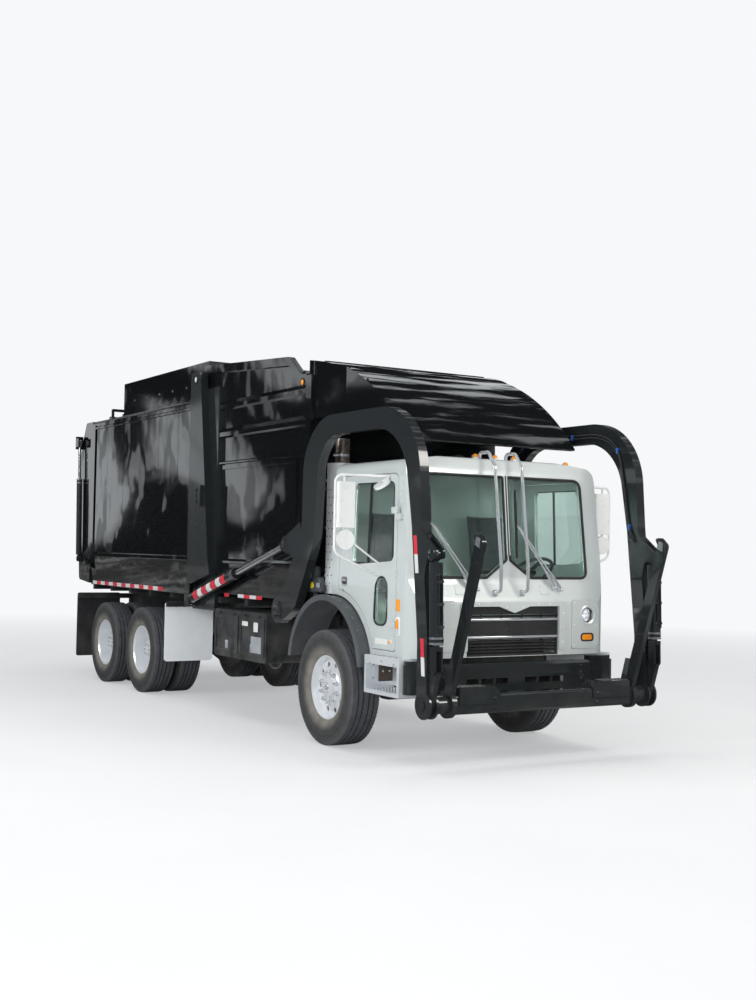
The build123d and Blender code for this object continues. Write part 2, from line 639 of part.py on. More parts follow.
def cab_fittings():
    """Interior, bumper, grille, lamps, grab rails, fenders, steps and exhaust."""
    dash = side_profile([(-1290, 1310, 0), (-930, 1300, 40), (-880, 1480, 60), (-1140, 1560, 0),
                         (-1290, 1560, 0)], (-960, 960)) & cab_cavity()
    column = rod((540, -980, 1420), (540, -815, 1640), 28)
    wheel = Plane(origin=(540, -815, 1640), z_dir=(0, 165, 220)) * (
        Torus(225, 16) + Box(440, 40, 14) + Cylinder(60, 40))
    node("dashboard", dash + column + wheel)
    seat_base = side_profile([(-520, 1460, 30), (-40, 1460, 30), (60, 2180, 60), (-60, 2200, 60),
                              (-150, 1600, 30), (-520, 1620, 60)], (300, 820))
    pedestal = block((400, 720), (-480, -100), (1100, 1465))
    seat_base += pedestal - rod_x((arch_y, arch_z), arch_r + cab_wall + fit_gap, (300, 800))
    node("seats", *both(seat_base))
    bumper = plan_profile([(-1150, bumper_back, 20), (-1150, bumper_front, 70),
                           (1150, bumper_front, 70), (1150, bumper_back, 20)],
                          (bumper_low, bumper_high))
    bumper -= block((-bumper_end + 40, bumper_end - 40), (bumper_front + 12, bumper_back + 20),
                    (bumper_low + 14, bumper_high - 14))
    bumper -= side_profile([(bumper_front - 5, bumper_high + 5, 0),
                            (bumper_front - 5, bumper_high - 30, 0),
                            (bumper_front + 30, bumper_high + 5, 0)], (-bumper_end, bumper_end))
    for out in (-1, 1):
        cap = plan_profile([(out * bumper_end, bumper_back, 0), (out * bumper_end,
                            bumper_front + 14, 0), (out * 1136, bumper_front + 14, 60),
                            (out * 1136, bumper_back, 10)], (bumper_high - 5, bumper_high + 35))
        bumper += cap
        bumper -= block(sorted((out * bumper_end, out * (bumper_end + 6))),
                        (bumper_front - 5, bumper_front + 6), (bumper_low - 5, bumper_high + 60))
        bumper += block(sorted((out * 350, out * 420)), (bumper_back - 20, rail_front),
                        (760, bumper_high - 10))
        for k in range(3):
            x = 95 + k * 160
            bumper -= block(sorted((out * x, out * (x + 130))), (bumper_front - 5,
                            bumper_front + 20), (665, 715))
    node("bumper", bumper)
    node("grille", grille())
    head, turn = cab_lamps(0)
    node("headlamps", *both(head), *both(turn))
    outer = cab_solid()
    rails = []
    for x in rail_places:
        pts = [(x, -985, 2660), (x, -985, 2735), (x, -1125, 2735), (x, -1225, 2600),
               (x, -1345, 1700), (x, -1340, 1490), (x, -1240, 1450)]
        path = FilletPolyline(*pts, radius=[35, 60, 80, 250, 40])
        start = Plane(origin=path @ 0, z_dir=path % 0)
        rails.append(sweep(start * Circle(11), path=path) - outer)
    node("grab_rails", *rails)
    node("marker_lamps", *[rod((x, -1035, 2640), (x, -1035, 2715), 30) - outer
                           for x in (-640, -220, 0, 220, 640)])
    fender_plane = Plane((850, 0, 0), x_dir=(0, 1, 0), z_dir=(1, 0, 0))
    ring = Circle(690) - Circle(655)
    cutter = Pos(0, -500) * Rectangle(2000, 1160)
    fender = extrude(fender_plane * Pos(arch_y, arch_z) * (ring - cutter), 370)
    lip = Circle(702) - Circle(648)
    fender += extrude(fender_plane * Pos(arch_y, arch_z) * (lip - cutter), 22)
    fender += Pos(348, 0, 0) * extrude(fender_plane * Pos(arch_y, arch_z) * (lip - cutter), 22)
    for y in (-590, 690):
        fender += rod((rail_x, y, 908), (870, y, 908), 20)
    node("front_fenders", *both(fender))
    step = block((880, 1180), (bumper_back + 2, -660), (565, cab_bottom))
    step -= block((840, 1190), (-1200, -690), (600, 825))
    node("cab_steps", *both(step))
    x, y = stack_place
    muffler = rod((x, y, 1400), (x, y, 2660), shield_r - 14)
    stack = rod((x, y, 2640), (x, y, 2900), stack_r) - rod((x, y, 2700), (x, y, 2910), stack_r - 5)
    for z in (1600, 2400):
        stack += block((x - 30, x + 30), (y + 70, hopper_front), (z, z + 40))
    shield = rod((x, y, 1480), (x, y, 2600), shield_r) - rod((x, y, 1400), (x, y, 2700),
                                                             shield_r - 6)
    shield -= block((x - 200, x + 200), (y + 10, y + 200), (1400, 2700))
    for z in (1560, 2020, 2480):
        muffler += rod((x, y, z), (x, y, z + 24), shield_r - 4)
    node("exhaust", muffler + stack + shield)


def body_outline(inset):
    """The body's cross section as (x, z, radius) rows, drawn in by an inset."""
    half = body_half - inset
    low, top = body_floor + inset, body_top - inset
    return [(-half + 30, low, 0), (-half, body_fold, 0), (-half, top, 40), (0, top + 30, 0),
            (half, top, 40), (half, body_fold, 0), (half - 30, low, 0)]


def body():
    """Main body, hopper, post frame, canopy and tailgate."""
    shell = front_profile(body_outline(0), (body_front, body_rear))
    shell -= front_profile(body_outline(body_wall), (body_front - 10, body_rear + 10))
    for out in (-1, 1):
        for z, h, proud in ((body_fold - 45, 75, 18), (body_top - 125, 60, 18),
                            (body_top - 50, 30, 12)):
            inner = out * (body_half - 20)
            outer = out * (body_half + proud)
            shell += front_profile([(inner, z, 0), (outer, z + 12, 0), (outer, z + h - 25, 0),
                                    (inner, z + h, 0)], (body_front, body_rear))
        shell += block(sorted((out * (body_half - 5), out * (body_half + 16))),
                       (body_rear - 130, body_rear), (body_fold, body_top - 60))
        shell += block(sorted((out * (door_half - 40), out * (door_half + 20))),
                       (body_front, top_door_front + top_door_len),
                       (body_top - 15, top_door_low - slide_gap))

    post = side_profile(
        [(post_front_top, post_top, 20), (body_front, post_top, 20), (body_front, 1370, 0),
         (post_front_foot - 60, 1520, 0), (post_front_foot, 1700, 100)],
        (hopper_half + 45, arm_out - post_proud))
    post += block((hopper_half, hopper_half + 46), (post_front_foot - 40, body_front),
                  (1110, post_top - 200))
    by, bz = lift_base
    for x in ((arm_x - eye_w / 2 - 24, arm_x - eye_w / 2 - 4),
              (arm_x + eye_w / 2 + 4, arm_x + eye_w / 2 + 24)):
        post += side_profile([(by - 50, bz - 80, 40), (by + 75, bz - 80, 50),
                              (body_front, bz, 0), (body_front, 1400, 0), (by - 50, 1400, 0)], x)
    post += block((arm_x - 60, arm_x + eye_w / 2 + 24), (by + eye_r + 8, body_front),
                  (bz - 20, 1400))
    post += rod_x(lift_base, eye_r * 0.4 - pin_gap, (arm_x - 60, arm_x + eye_w / 2 + 30))
    lamp_box = side_profile([(2915, 2275, 12), (3095, 2275, 12), (3095, 2520, 12),
                             (2915, 2520, 12)], (arm_out - post_proud - 4, arm_out + 15))
    for z in (2335, 2398, 2461):
        lamp_box -= rod_x((3005, z), 24, (arm_out + 3, arm_out + 20))
    post += lamp_box
    posts = post + mirrored(post)
    posts += block((-hopper_half - 60, hopper_half + 60), (body_front - 150, body_front),
                   (3430, 3540))
    node("body_posts", posts)

    inner = hopper_half - hopper_wall
    brow_y, brow_z = hopper_brow
    crown = [(body_front, hopper_crest, 0), (brow_y, brow_z, 60), (brow_y - 270, hopper_lip, 40),
             (hopper_front, hopper_lip, 20)]
    side = side_profile([(hopper_front, 1305, 0), (body_front, 1305, 0)] + crown,
                        (inner, hopper_half))
    side += block((door_half - 40, hopper_half), (hopper_front + 60, body_front - 160),
                  (top_door_low - 50, top_door_low - slide_gap))
    rib_end = body_front - 245
    for z, h in ((3350, 115), (3040, 115), (2745, 40), (1640, 60)):
        side += front_profile([(hopper_half - 5, z, 0), (hopper_half + 38, z + h * 0.15, 0),
                               (hopper_half + 38, z + h * 0.55, 0), (hopper_half - 5, z + h, 0)],
                              (hopper_front + 100, rib_end))
    side += side_profile([(rib_end, hopper_crest - 25, 0), (brow_y, brow_z, 60),
                          (brow_y - 270, hopper_lip, 40), (hopper_front + 100, hopper_lip, 0),
                          (hopper_front + 100, hopper_lip - 90, 0),
                          (brow_y - 290, hopper_lip - 90, 40), (brow_y, brow_z - 90, 60),
                          (rib_end, hopper_crest - 115, 0)], (hopper_half - 5, hopper_half + 38))
    frame_rows = [(870, 1800), (2885, 1800), (2885, 2735), (870, 2735)]
    ring = side_profile([(y, z, 25) for y, z in frame_rows], (hopper_half - 5, hopper_half + 16))
    ring -= side_profile([(y + (45 if y < 2000 else -45), z + (45 if z < 2000 else -45), 15)
                          for y, z in frame_rows], (hopper_half - 10, hopper_half + 20))
    side += ring
    side += block((hopper_half - 5, hopper_half + 38), (hopper_front, hopper_front + 110),
                  (1700, hopper_lip - 20))
    walls = side + mirrored(side)
    walls += block((-hopper_half, hopper_half), (hopper_front, hopper_front + 40),
                   (hopper_floor, hopper_lip - 40))
    walls += block((-canopy_half, canopy_half), (hopper_front, hopper_front + 40),
                   (hopper_lip - 50, hopper_front_top))
    walls += block((-inner, inner), (hopper_front, body_front), (hopper_floor, hopper_floor + 30))
    for y in (1300, 2000, 2700):
        walls += block((-inner, inner), (y - 40, y + 40), (rail_top + subframe_h, hopper_floor))
    node("hopper", walls - posts)

    plane = Plane((-canopy_half, 0, 0), x_dir=(0, 1, 0), z_dir=(1, 0, 0))
    sheet = Circle(canopy_r) - Circle(canopy_r - canopy_t)
    back = hopper_front - arm_pivot[0]
    window = make_face(Polyline((back, 500), (back, 3200), (-3200, 3200),
                                polar((0, 0), 3200, 139.7), polar((0, 0), 600, 139.7), close=True))
    sheet_face = plane * Pos(arm_pivot[0], arm_pivot[1]) * (sheet & window)
    canopy = extrude(sheet_face, 2 * canopy_half)
    reach = 2 * canopy_r
    segment = (Circle(canopy_r - 4) & window) & (
        Pos(0, canopy_low - arm_pivot[1] + reach / 2) * Rectangle(2 * reach, reach))
    side_face = plane * Pos(arm_pivot[0], arm_pivot[1]) * segment
    plate = extrude(side_face, canopy_t)
    wing = plan_profile([(canopy_half - canopy_t, 150, 0), (canopy_half, 150, 0),
                         (hopper_half, hopper_front, 0), (hopper_half - canopy_t, hopper_front, 0)],
                        (canopy_low, hopper_lip - 60))
    canopy += plate + mirrored(plate) + wing + mirrored(wing)
    lip_y, lip_z = polar(arm_pivot, canopy_r - 25, 139.2)
    canopy += block((-canopy_half, canopy_half), (lip_y - 5, lip_y + 45), (lip_z - 10, lip_z + 20))
    node("canopy", canopy)

    rear = body_rear + seam_gap
    gate_rows = [(rear, body_floor + 20, 0), (rear + tail_depth - 60, body_floor + 60, 60),
                 (rear + tail_depth, 1900, 250), (rear + tail_depth, 3100, 250),
                 (rear + tail_depth - 220, body_top, 80), (rear, body_top, 0)]
    cave_rows = [(rear - 20, body_floor + 60, 0), (rear + tail_depth - 100, body_floor + 105, 60),
                 (rear + tail_depth - 40, 1900, 250), (rear + tail_depth - 40, 3100, 250),
                 (rear + tail_depth - 250, body_top - 40, 80), (rear - 20, body_top - 40, 0)]
    gate = side_profile(gate_rows, (-body_half, body_half))
    gate -= side_profile(cave_rows, (-body_half + 40, body_half - 40))
    gy, gz = gate_lug
    outer = gate_ram_x + eye_w / 2 + 4
    for out in (1, -1):
        gate += block(sorted((out * (body_half - 20), out * (outer + 16))),
                      (gy + gate_eye_r + 8, rear + tail_depth - 20), (gz - 90, gz + 90))
        gate += block(sorted((out * outer, out * (outer + 16))),
                      (gy - 60, rear + tail_depth - 20), (gz - 60, gz + 60))
        ear = rod_x(gate_hinge, 32, sorted((out * 700, out * 900)))
        ear += block(sorted((out * 700, out * 900)), (gate_hinge[0], gate_hinge[0] + 90),
                     (body_top - 5, gate_hinge[1] + 20))
        gate += ear - rod_x(gate_hinge, 22 + pin_gap, (-1000, 1000))
    node("tailgate", gate)
    lamps = block((700, 1000), (rear + tail_depth, rear + tail_depth + 28), (2000, 2140))
    node("tail_lamps", *both(lamps))
    for out in (1, -1):
        plate = side_profile([(body_rear - 90, 1480, 0), (gate_base[0] + 45, 1575, 40),
                              (gate_base[0] + 45, 1655, 30), (gate_base[0] - 60, 1655, 0),
                              (body_rear - 90, 1840, 0)],
                             sorted((out * (gate_ram_x - eye_w / 2 - 20),
                                     out * (gate_ram_x - eye_w / 2 - 4))))
        shell += plate + block(sorted((out * (body_half - 10), out * (gate_ram_x - 30))),
                               (body_rear - 90, body_rear - 10), (1560, 1840))
        shell += rod_x(gate_base, gate_eye_r * 0.4 - pin_gap,
                       sorted((out * (gate_ram_x - 30), out * (gate_ram_x + eye_w / 2 + 8))))
        shell += side_profile([(body_rear - 60, body_top - 10, 0), (body_rear, body_top - 10, 0),
                               (body_rear, body_top + 26, 0), (gate_hinge[0] + 30, body_top + 26, 0),
                               (gate_hinge[0] + 30, gate_hinge[1] + 30, 20),
                               (body_rear - 60, gate_hinge[1] + 30, 20)],
                              sorted((out * 906, out * 960)))
        shell += rod_x(gate_hinge, 22, sorted((out * 720, out * 950)))
        shell += rod((out * 930, body_rear - 20, gate_hinge[1]), (out * 930, body_rear - 20, 3712),
                     20)
    shell += rod((-930, body_rear - 20, 3700), (930, body_rear - 20, 3700), 20)
    node("body_shell", shell)


def top_door():
    """Shallow box lid that slides over the hopper, open below."""
    y = (top_door_front, top_door_front + top_door_len)
    lid = block((-door_half, door_half), y, (top_door_low, top_door_high))
    lid -= block((-door_half + 25, door_half - 25), (y[0] + 25, y[1] - 25),
                 (top_door_low - 10, top_door_high - 25))
    for out in (-1, 1):
        for at_y in (y[0] + 60, (y[0] + y[1]) / 2, y[1] - 160):
            lid += block(sorted((out * (door_half - 25), out * door_half)), (at_y, at_y + 100),
                         (top_door_low - slide_gap + pin_gap, top_door_low + 5))
    node("top_door", lid)


def packer():
    """Wedge-shaped blade that pushes the load back through the hopper."""
    low = hopper_floor + 30 + slide_gap
    rows = [(hopper_front + 50, low, 0), (1060, low, 0), (1060, 1900, 60), (800, 2450, 60),
            (hopper_front + 50, 2450, 0)]
    half = hopper_half - hopper_wall - slide_gap
    blade = side_profile(rows, (-half, half))
    for out in (-1, 1):
        for at_y in (hopper_front + 70, 960):
            blade += block(sorted((out * (half - 5), out * (half + slide_gap - pin_gap))),
                           (at_y, at_y + 80), (low + 60, low + 140))
    node("packer", blade)


def lift_arms():
    """Both over-cab arms, their lugs and cheeks, and the torque tube that joins them."""
    py, pz = arm_pivot
    fy, fz = fork_pivot
    rows = [
        (1090, 1225, 60), (860, 1440, 150), (600, 1800, 150), (470, 2050, 150),
        (468, 3085, 560), (-1560, 3085, 640), (-1640, 2080, 300),
        (-1752, 1150, 300), (-1752, fz, 0), (-1607, fz, 0), (-1607, 1080, 200),
        (-1490, 2050, 300), (-1330, 2895, 520), (150, 2895, 380), (225, 1900, 600),
        (590, 1240, 250), (850, 1110, 80), (1000, 1100, 80),
    ]
    arm = side_profile(rows, (arm_in, arm_out))
    arm += rod_x(arm_pivot, 135, (arm_in, arm_out))
    arm += rod_x(fork_pivot, fork_hub_r, (arm_in, arm_out))
    ly, lz = lift_lug
    lug = side_profile([(500, 2090, 20), (ly - 20, lz + lug_r, 0), (ly - 20, lz - lug_r, 0),
                        (640, 1740, 20), (480, 1850, 0)], (arm_in, arm_out))
    lug += rod_x(lift_lug, lug_r, (arm_in, arm_out))
    arm += lug
    gap = (arm_x - eye_w / 2 - 4, arm_x + eye_w / 2 + 4)
    arm -= side_profile([(650, 2000, 60), (1100, 2000, 0), (1100, 1480, 0), (870, 1480, 0),
                         (650, 1790, 60)], gap)
    bracket = side_profile([(-1630, 2010, 0), (-1868, 1840, 40),
                            (-1868, 1764, 30), (-1733, 1764, 0), (-1680, 1560, 0)],
                           (arm_in, arm_out))
    bracket -= side_profile([(-1700, 2050, 0), (-2000, 2050, 0), (-2000, 1500, 0), (-1700, 1500, 0)],
                            (arm_x - eye_w / 2 - 4, arm_x + eye_w / 2 + 4))
    arm += bracket
    cheek_gap = (arm_in + cheek + 2, arm_out - cheek - 2)
    arm -= block(cheek_gap, (-1900, -1500), (fz - 200, fz + 430))
    arm -= rod_x(fork_pivot, fork_pin_r + pin_gap, (arm_in - 10, arm_out + 10))
    arm += rod_x(fork_cyl_top, fork_eye_r * 0.4 - pin_gap, (arm_in - 6, arm_out + 6))
    pair = arm + mirrored(arm) + rod_x(arm_pivot, torque_tube_r, (-arm_in - 5, arm_in + 5))
    node("lift_arms", pair)
    saddles = side_profile([(py - 110, rail_top, 0), (py + 110, rail_top, 0), (py + 100, pz, 20),
                            (py + 60, pz + 115, 20), (py - 60, pz + 115, 20), (py - 100, pz, 20)],
                           (350, 425))
    saddles -= rod_x(arm_pivot, torque_tube_r + pin_gap, (300, 500))
    node("arm_saddles", *both(saddles))


def cylinder(base, tip, barrel_r, rod_r, barrel_len, rod_in, eye, x, clevis):
    """A ram in the plane at x: barrel with its base eye, rod with an eye or a clevis at its tip."""
    start, end = Vector(x, *base), Vector(x, *tip)
    unit = (end - start).normalized()
    w = eye_w / 2
    barrel = rod(start + unit * (eye + 12), start + unit * barrel_len, barrel_r)
    barrel += rod_x(base, eye, (x - w, x + w)) + rod(start, start + unit * (eye + 20), w)
    barrel -= rod_x(base, eye * 0.4, (x - w - 1, x + w + 1))
    barrel -= rod(start + unit * (eye + 60), start + unit * (barrel_len + 5), rod_r + pin_gap)
    if clevis:
        ram = rod(start + unit * rod_in, end - unit * 170, rod_r)
        cross = Plane(origin=end - unit * 172, x_dir=(1, 0, 0), z_dir=unit)
        ram += cross * Box(80, 80, 36)
        for side in (-1, 1):
            ram += cross * Pos(side * 31.5, 0, 86) * Box(17, 76, 172)
            ram += rod_x(tip, 38, sorted((x + side * 23, x + side * 40)))
        return barrel, ram
    ram = rod(start + unit * rod_in, end - unit * (eye + 55), rod_r)
    ram += rod_x(tip, eye, (x - w, x + w)) + rod(end - unit * (eye + 60), end, w * 0.9)
    return barrel, ram


def rams():
    """Lift, fork and tailgate cylinders, each a barrel and a rod on both sides."""
    table = [
        ("lift", lift_base, lift_lug, lift_barrel_r, lift_rod_r, lift_barrel_len, lift_rod_in,
         eye_r, arm_x, False),
        ("fork", fork_cyl_top, crank_pin, fork_barrel_r, fork_rod_r, fork_barrel_len,
         fork_eye_r + 90, fork_eye_r, arm_x, True),
        ("tailgate", gate_base, gate_lug, gate_barrel_r, gate_rod_r, gate_barrel_len,
         gate_eye_r + 90, gate_eye_r, gate_ram_x, False),
    ]
    for name, base, tip, barrel_r, rod_r, length, rod_in, eye, x, clevis in table:
        pairs = [cylinder(base, tip, barrel_r, rod_r, length, rod_in, eye, out * x, clevis)
                 for out in (1, -1)]
        node(f"{name}_barrels", *[barrel for barrel, ram in pairs])
        node(f"{name}_rods", *[ram for barrel, ram in pairs])


def forks():
    """Two tines, their hubs and cranks on one cross shaft."""
    fy, fz = fork_pivot
    lean_y, lean_z = -sin(radians(tine_lean)), cos(radians(tine_lean))
    length = (tine_top_z - fz) / lean_z
    front, back = tine_d / 2, -tine_d / 2
    rows = [(back, 0, 0), (back, length - 70, 20), (back - 45, length - 25, 15),
            (back, length, 40), (front, length - 40, 40), (front, 0, 0)]
    outline = [(fy - a * lean_z + b * lean_y, fz + a * lean_y + b * lean_z, r)
               for a, b, r in rows]
    cy, cz = crank_pin
    angle = atan2(cz - fz, cy - fy)
    ny, nz = -sin(angle), cos(angle)
    r0, r1 = 80.0, 46.0
    crank = [(fy + ny * r0, fz + nz * r0, 0), (cy + ny * r1, cz + nz * r1, 0),
             (cy - ny * r1, cz - nz * r1, 0), (fy - ny * r0, fz - nz * r0, 0)]
    beam = fork_beam / 2
    whole = side_profile([(fy - beam, fz - beam, 25), (fy + beam, fz - beam, 25),
                          (fy + beam, fz + beam, 25), (fy - beam, fz + beam, 25)],
                         (-tine_x, tine_x))
    for out in (1, -1):
        blade = sorted((out * (tine_x - tine_w / 2), out * (tine_x + tine_w / 2)))
        whole += rod_x(fork_pivot, fork_hub_r, blade)
        whole += side_profile(outline, blade)
        whole += rod_x(fork_pivot, 76, sorted((out * tine_x, out * (arm_in - 5))))
        whole += rod_x(fork_pivot, fork_pin_r, sorted((out * tine_x, out * (arm_out + 12))))
        xs = sorted((out * (arm_in + cheek + 6), out * (arm_out - cheek - 6)))
        whole += side_profile(crank, xs) + rod_x(fork_pivot, r0, xs)
        pad_in, pad_out = out * (tine_x - 430), out * (tine_x - 60)
        whole += front_profile([(pad_out, fz, 0), (pad_out, fz + beam + 62, 0),
                                (pad_in, fz + beam + 62, 0), (pad_in - out * 50, fz + beam + 10, 0),
                                (pad_in - out * 50, fz, 0)], (fy - beam - 12, fy + beam - 6))
        whole += front_profile([(out * tine_x, fz, 0), (out * tine_x, fz + 330, 0),
                                (out * (tine_x - 60), fz + 120, 0), (out * (tine_x - 60), fz, 0)],
                               (fy - 34, fy + 34))
    node("forks", whole)


def flaps():
    """White flaps ahead of the tandem and black ones behind it."""
    white = front_profile([(620, 450, 40), (1240, 450, 40), (1240, 1160, 40), (620, 1160, 40)],
                          (wheelbase - flap_gap, wheelbase - flap_gap + 12))
    node("front_flaps", *both(white))
    black = front_profile([(600, 255, 30), (1225, 255, 30), (1225, 1140, 30), (600, 1140, 30)],
                          (rail_rear + 60, rail_rear + 70))
    node("rear_flaps", *both(black))


front_wheel("left", 1)
front_wheel("right", -1)
for place, y in (("mid", wheelbase), ("rear", wheelbase + tandem_spacing)):
    twin_wheels(place, "left", y, 1)
    twin_wheels(place, "right", y, -1)
knuckle("left", 1)
knuckle("right", -1)
axles_and_springs()
chassis()
cab()
mirror_head = door_mirror() - nodes["door_left"][0]
node("mirror_left", mirror_head)
node("mirror_right", mirrored(mirror_head))
cab_fittings()
body()
top_door()
packer()
lift_arms()
forks()
rams()
flaps()

lowest = min(s.bounding_box().min.Y for solids in nodes.values() for s in solids)
highest = max(s.bounding_box().max.Y for solids in nodes.values() for s in solids)
shift_y = -(lowest + highest) / 2
shift = Pos(0, shift_y, 0)
for name, solids in nodes.items():
    export_step(Compound(children=[shift * s for s in solids]), f"parts/{name}.step")
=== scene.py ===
from math import cos, exp, hypot, pi, radians, sin, sqrt

import bmesh
import bpy
from mathutils import Matrix, Vector
from mathutils.bvhtree import BVHTree


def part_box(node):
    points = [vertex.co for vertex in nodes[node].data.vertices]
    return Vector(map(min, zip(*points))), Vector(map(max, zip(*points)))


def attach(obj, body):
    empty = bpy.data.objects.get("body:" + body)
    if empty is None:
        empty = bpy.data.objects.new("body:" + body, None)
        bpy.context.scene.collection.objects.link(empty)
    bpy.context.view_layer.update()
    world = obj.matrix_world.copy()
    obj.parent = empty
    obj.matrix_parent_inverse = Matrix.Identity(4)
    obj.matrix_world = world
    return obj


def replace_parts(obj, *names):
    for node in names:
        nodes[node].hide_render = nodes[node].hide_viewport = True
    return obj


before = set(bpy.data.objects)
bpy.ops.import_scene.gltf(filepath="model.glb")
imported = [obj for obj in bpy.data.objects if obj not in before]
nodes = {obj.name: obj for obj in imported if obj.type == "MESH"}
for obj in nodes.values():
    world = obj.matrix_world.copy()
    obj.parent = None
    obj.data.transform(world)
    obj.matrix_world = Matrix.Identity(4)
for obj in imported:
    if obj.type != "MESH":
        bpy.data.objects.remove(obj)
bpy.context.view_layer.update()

# The looks of a front-loading refuse truck. Metres. Places are given from the front axle's line
# on the ground: x to the truck's left, y to its rear, z up. out is 1 on the left, -1 on the right.


def middle(name):
    """The centre of a node's box."""
    low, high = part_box(name)
    return (low + high) / 2


both = (("left", 1), ("right", -1))
along_x, along_y, along_z, forward, down = (1, 0, 0), (0, 1, 0), (0, 0, 1), (0, -1, 0), (0, 0, -1)
# Rays start here, well outside the truck's side, front and rear
beside, ahead, behind = 2.0, -3.0, 8.5
axle_y = middle("front_tyre_left").y
tandem_y = (middle("mid_tyres_left").y - axle_y, middle("rear_tyres_left").y - axle_y)


def at(x, y, z):
    """A point given from the front axle, in the frame."""
    return Vector((x, y + axle_y, z))


# Materials


class Graph:
    """A node tree, built by adding nodes together with their inputs."""

    def __init__(self, tree):
        self.tree = tree

    def link(self, out, socket):
        self.tree.links.new(out, socket)

    def add(self, kind, inputs=None, **values):
        """A new node. An input is given as a value or as the socket that feeds it."""
        made = self.tree.nodes.new(kind)
        for key, value in values.items():
            setattr(made, key, value)
        for key, value in (inputs or {}).items():
            if isinstance(value, bpy.types.NodeSocket):
                self.link(value, made.inputs[key])
            else:
                made.inputs[key].default_value = value
        return made

    def mix_shader(self, factor, a, b):
        return self.add("ShaderNodeMixShader", {0: factor, 1: a, 2: b}).outputs["Shader"]


class Surface(Graph):
    """A material built around one Principled shader."""

    def __init__(self, name):
        self.material = bpy.data.materials.new(name)
        self.material.use_nodes = True
        super().__init__(self.material.node_tree)
        self.shader = self.tree.nodes["Principled BSDF"]
        self.coord = self.add("ShaderNodeTexCoord").outputs["Object"]
        self.normal = None

    def noise(self, scale, detail=4.0, rough=0.55, stretch=None):
        coord = self.coord
        if stretch:
            mapping = self.add("ShaderNodeMapping", {"Vector": coord, "Scale": stretch})
            coord = mapping.outputs["Vector"]
        return self.add("ShaderNodeTexNoise", {"Vector": coord, "Scale": scale, "Detail": detail,
                                               "Roughness": rough}).outputs["Fac"]

    def span(self, value, low, high, new_low, new_high):
        return self.add("ShaderNodeMapRange", {"Value": value, "From Min": low, "From Max": high,
                                               "To Min": new_low, "To Max": new_high}
                        ).outputs["Result"]

    def times(self, a, b):
        return self.add("ShaderNodeMath", {0: a, 1: b}, operation="MULTIPLY").outputs["Value"]

    def mix(self, factor, a, b):
        inputs = {"Factor": factor, 6: a, 7: b}
        return self.add("ShaderNodeMix", inputs, data_type="RGBA").outputs[2]

    def height(self):
        parts = self.add("ShaderNodeSeparateXYZ", {"Vector": self.coord})
        return parts.outputs["Z"]

    def bump(self, height, depth):
        inputs = {"Distance": depth, "Strength": 1.0, "Height": height}
        if self.normal:
            inputs["Normal"] = self.normal
        self.normal = self.add("ShaderNodeBump", inputs).outputs["Normal"]

    def paint(self, colour, spread, scale):
        """A colour that drifts between a darker and a lighter end."""
        ends = [tuple(min(1.0, c * k) for c in colour) + (1.0,) for k in (1 - spread, 1 + spread)]
        self.colour = self.mix(self.span(self.noise(scale), 0.3, 0.7, 0.0, 1.0), *ends)

    def low_dust(self, top, amount):
        """Road dust that fades out with height."""
        fade = self.span(self.height(), 0.2, top, 1.0, 0.0)
        cloud = self.span(self.noise(5.0, 6.0), 0.35, 0.7, 0.0, amount)
        self.colour = self.mix(self.times(fade, cloud), self.colour, (0.30, 0.28, 0.25, 1.0))

    def done(self, rough, rough_spread, rough_scale=12.0):
        self.link(self.colour, self.shader.inputs["Base Color"])
        value = self.span(self.noise(rough_scale, 5.0), 0.3, 0.7, max(0.02, rough - rough_spread),
                          min(1.0, rough + rough_spread))
        self.link(value, self.shader.inputs["Roughness"])
        if self.normal:
            self.link(self.normal, self.shader.inputs["Normal"])
        return self.material

    def output(self, shader):
        self.link(shader, self.tree.nodes["Material Output"].inputs["Surface"])

    def set(self, **values):
        for key, value in values.items():
            self.shader.inputs[key.replace("_", " ")].default_value = value


def gloss_paint(name, colour, rough, waves, wave_depth, dust_top, dust, coat=0.8, metallic=0.0):
    """Sprayed enamel: faint orange peel, sheet waves, dust low down."""
    s = Surface(name)
    s.paint(colour, 0.01, 2.5)
    s.low_dust(dust_top, dust)
    s.bump(s.noise(waves, 2.0, 0.4), wave_depth)
    s.bump(s.noise(420.0, 2.0), 0.000008)
    s.set(Coat_Weight=coat, Coat_Roughness=0.04, Metallic=metallic, Specular_IOR_Level=0.45)
    return s.done(rough, 0.04 * rough, 7.0)


def plain(name, colour, rough, metallic=0.0, spread=0.08, scale=9.0, grain=0.0002,
          grain_scale=260.0, rough_spread=0.08, stretch=None, coat=0.0, dust=0.0, dust_top=1.4):
    """Plastic, rubber or metal with a fine grain."""
    s = Surface(name)
    s.paint(colour, spread, scale)
    if dust:
        s.low_dust(dust_top, dust)
    s.bump(s.noise(grain_scale, 3.0, 0.6, stretch), grain)
    s.set(Metallic=metallic, Coat_Weight=coat)
    return s.done(rough, rough_spread)


def tyre_rubber():
    """Rubber greyed with dust, browner towards the beads, which the mesh marks."""
    s = Surface("tyre_rubber")
    s.paint((0.030, 0.031, 0.034), 0.16, 14.0)
    cloud = s.span(s.noise(9.0, 5.0), 0.25, 0.75, 0.45, 1.0)
    for key, colour in (("bead", (0.235, 0.215, 0.185, 1.0)), ("tread", (0.085, 0.088, 0.098, 1.0))):
        marks = s.add("ShaderNodeAttribute", attribute_name=key)
        s.colour = s.mix(s.times(marks.outputs["Fac"], cloud), s.colour, colour)
    s.bump(s.noise(300.0, 3.0), 0.0003)
    return s.done(0.72, 0.1)


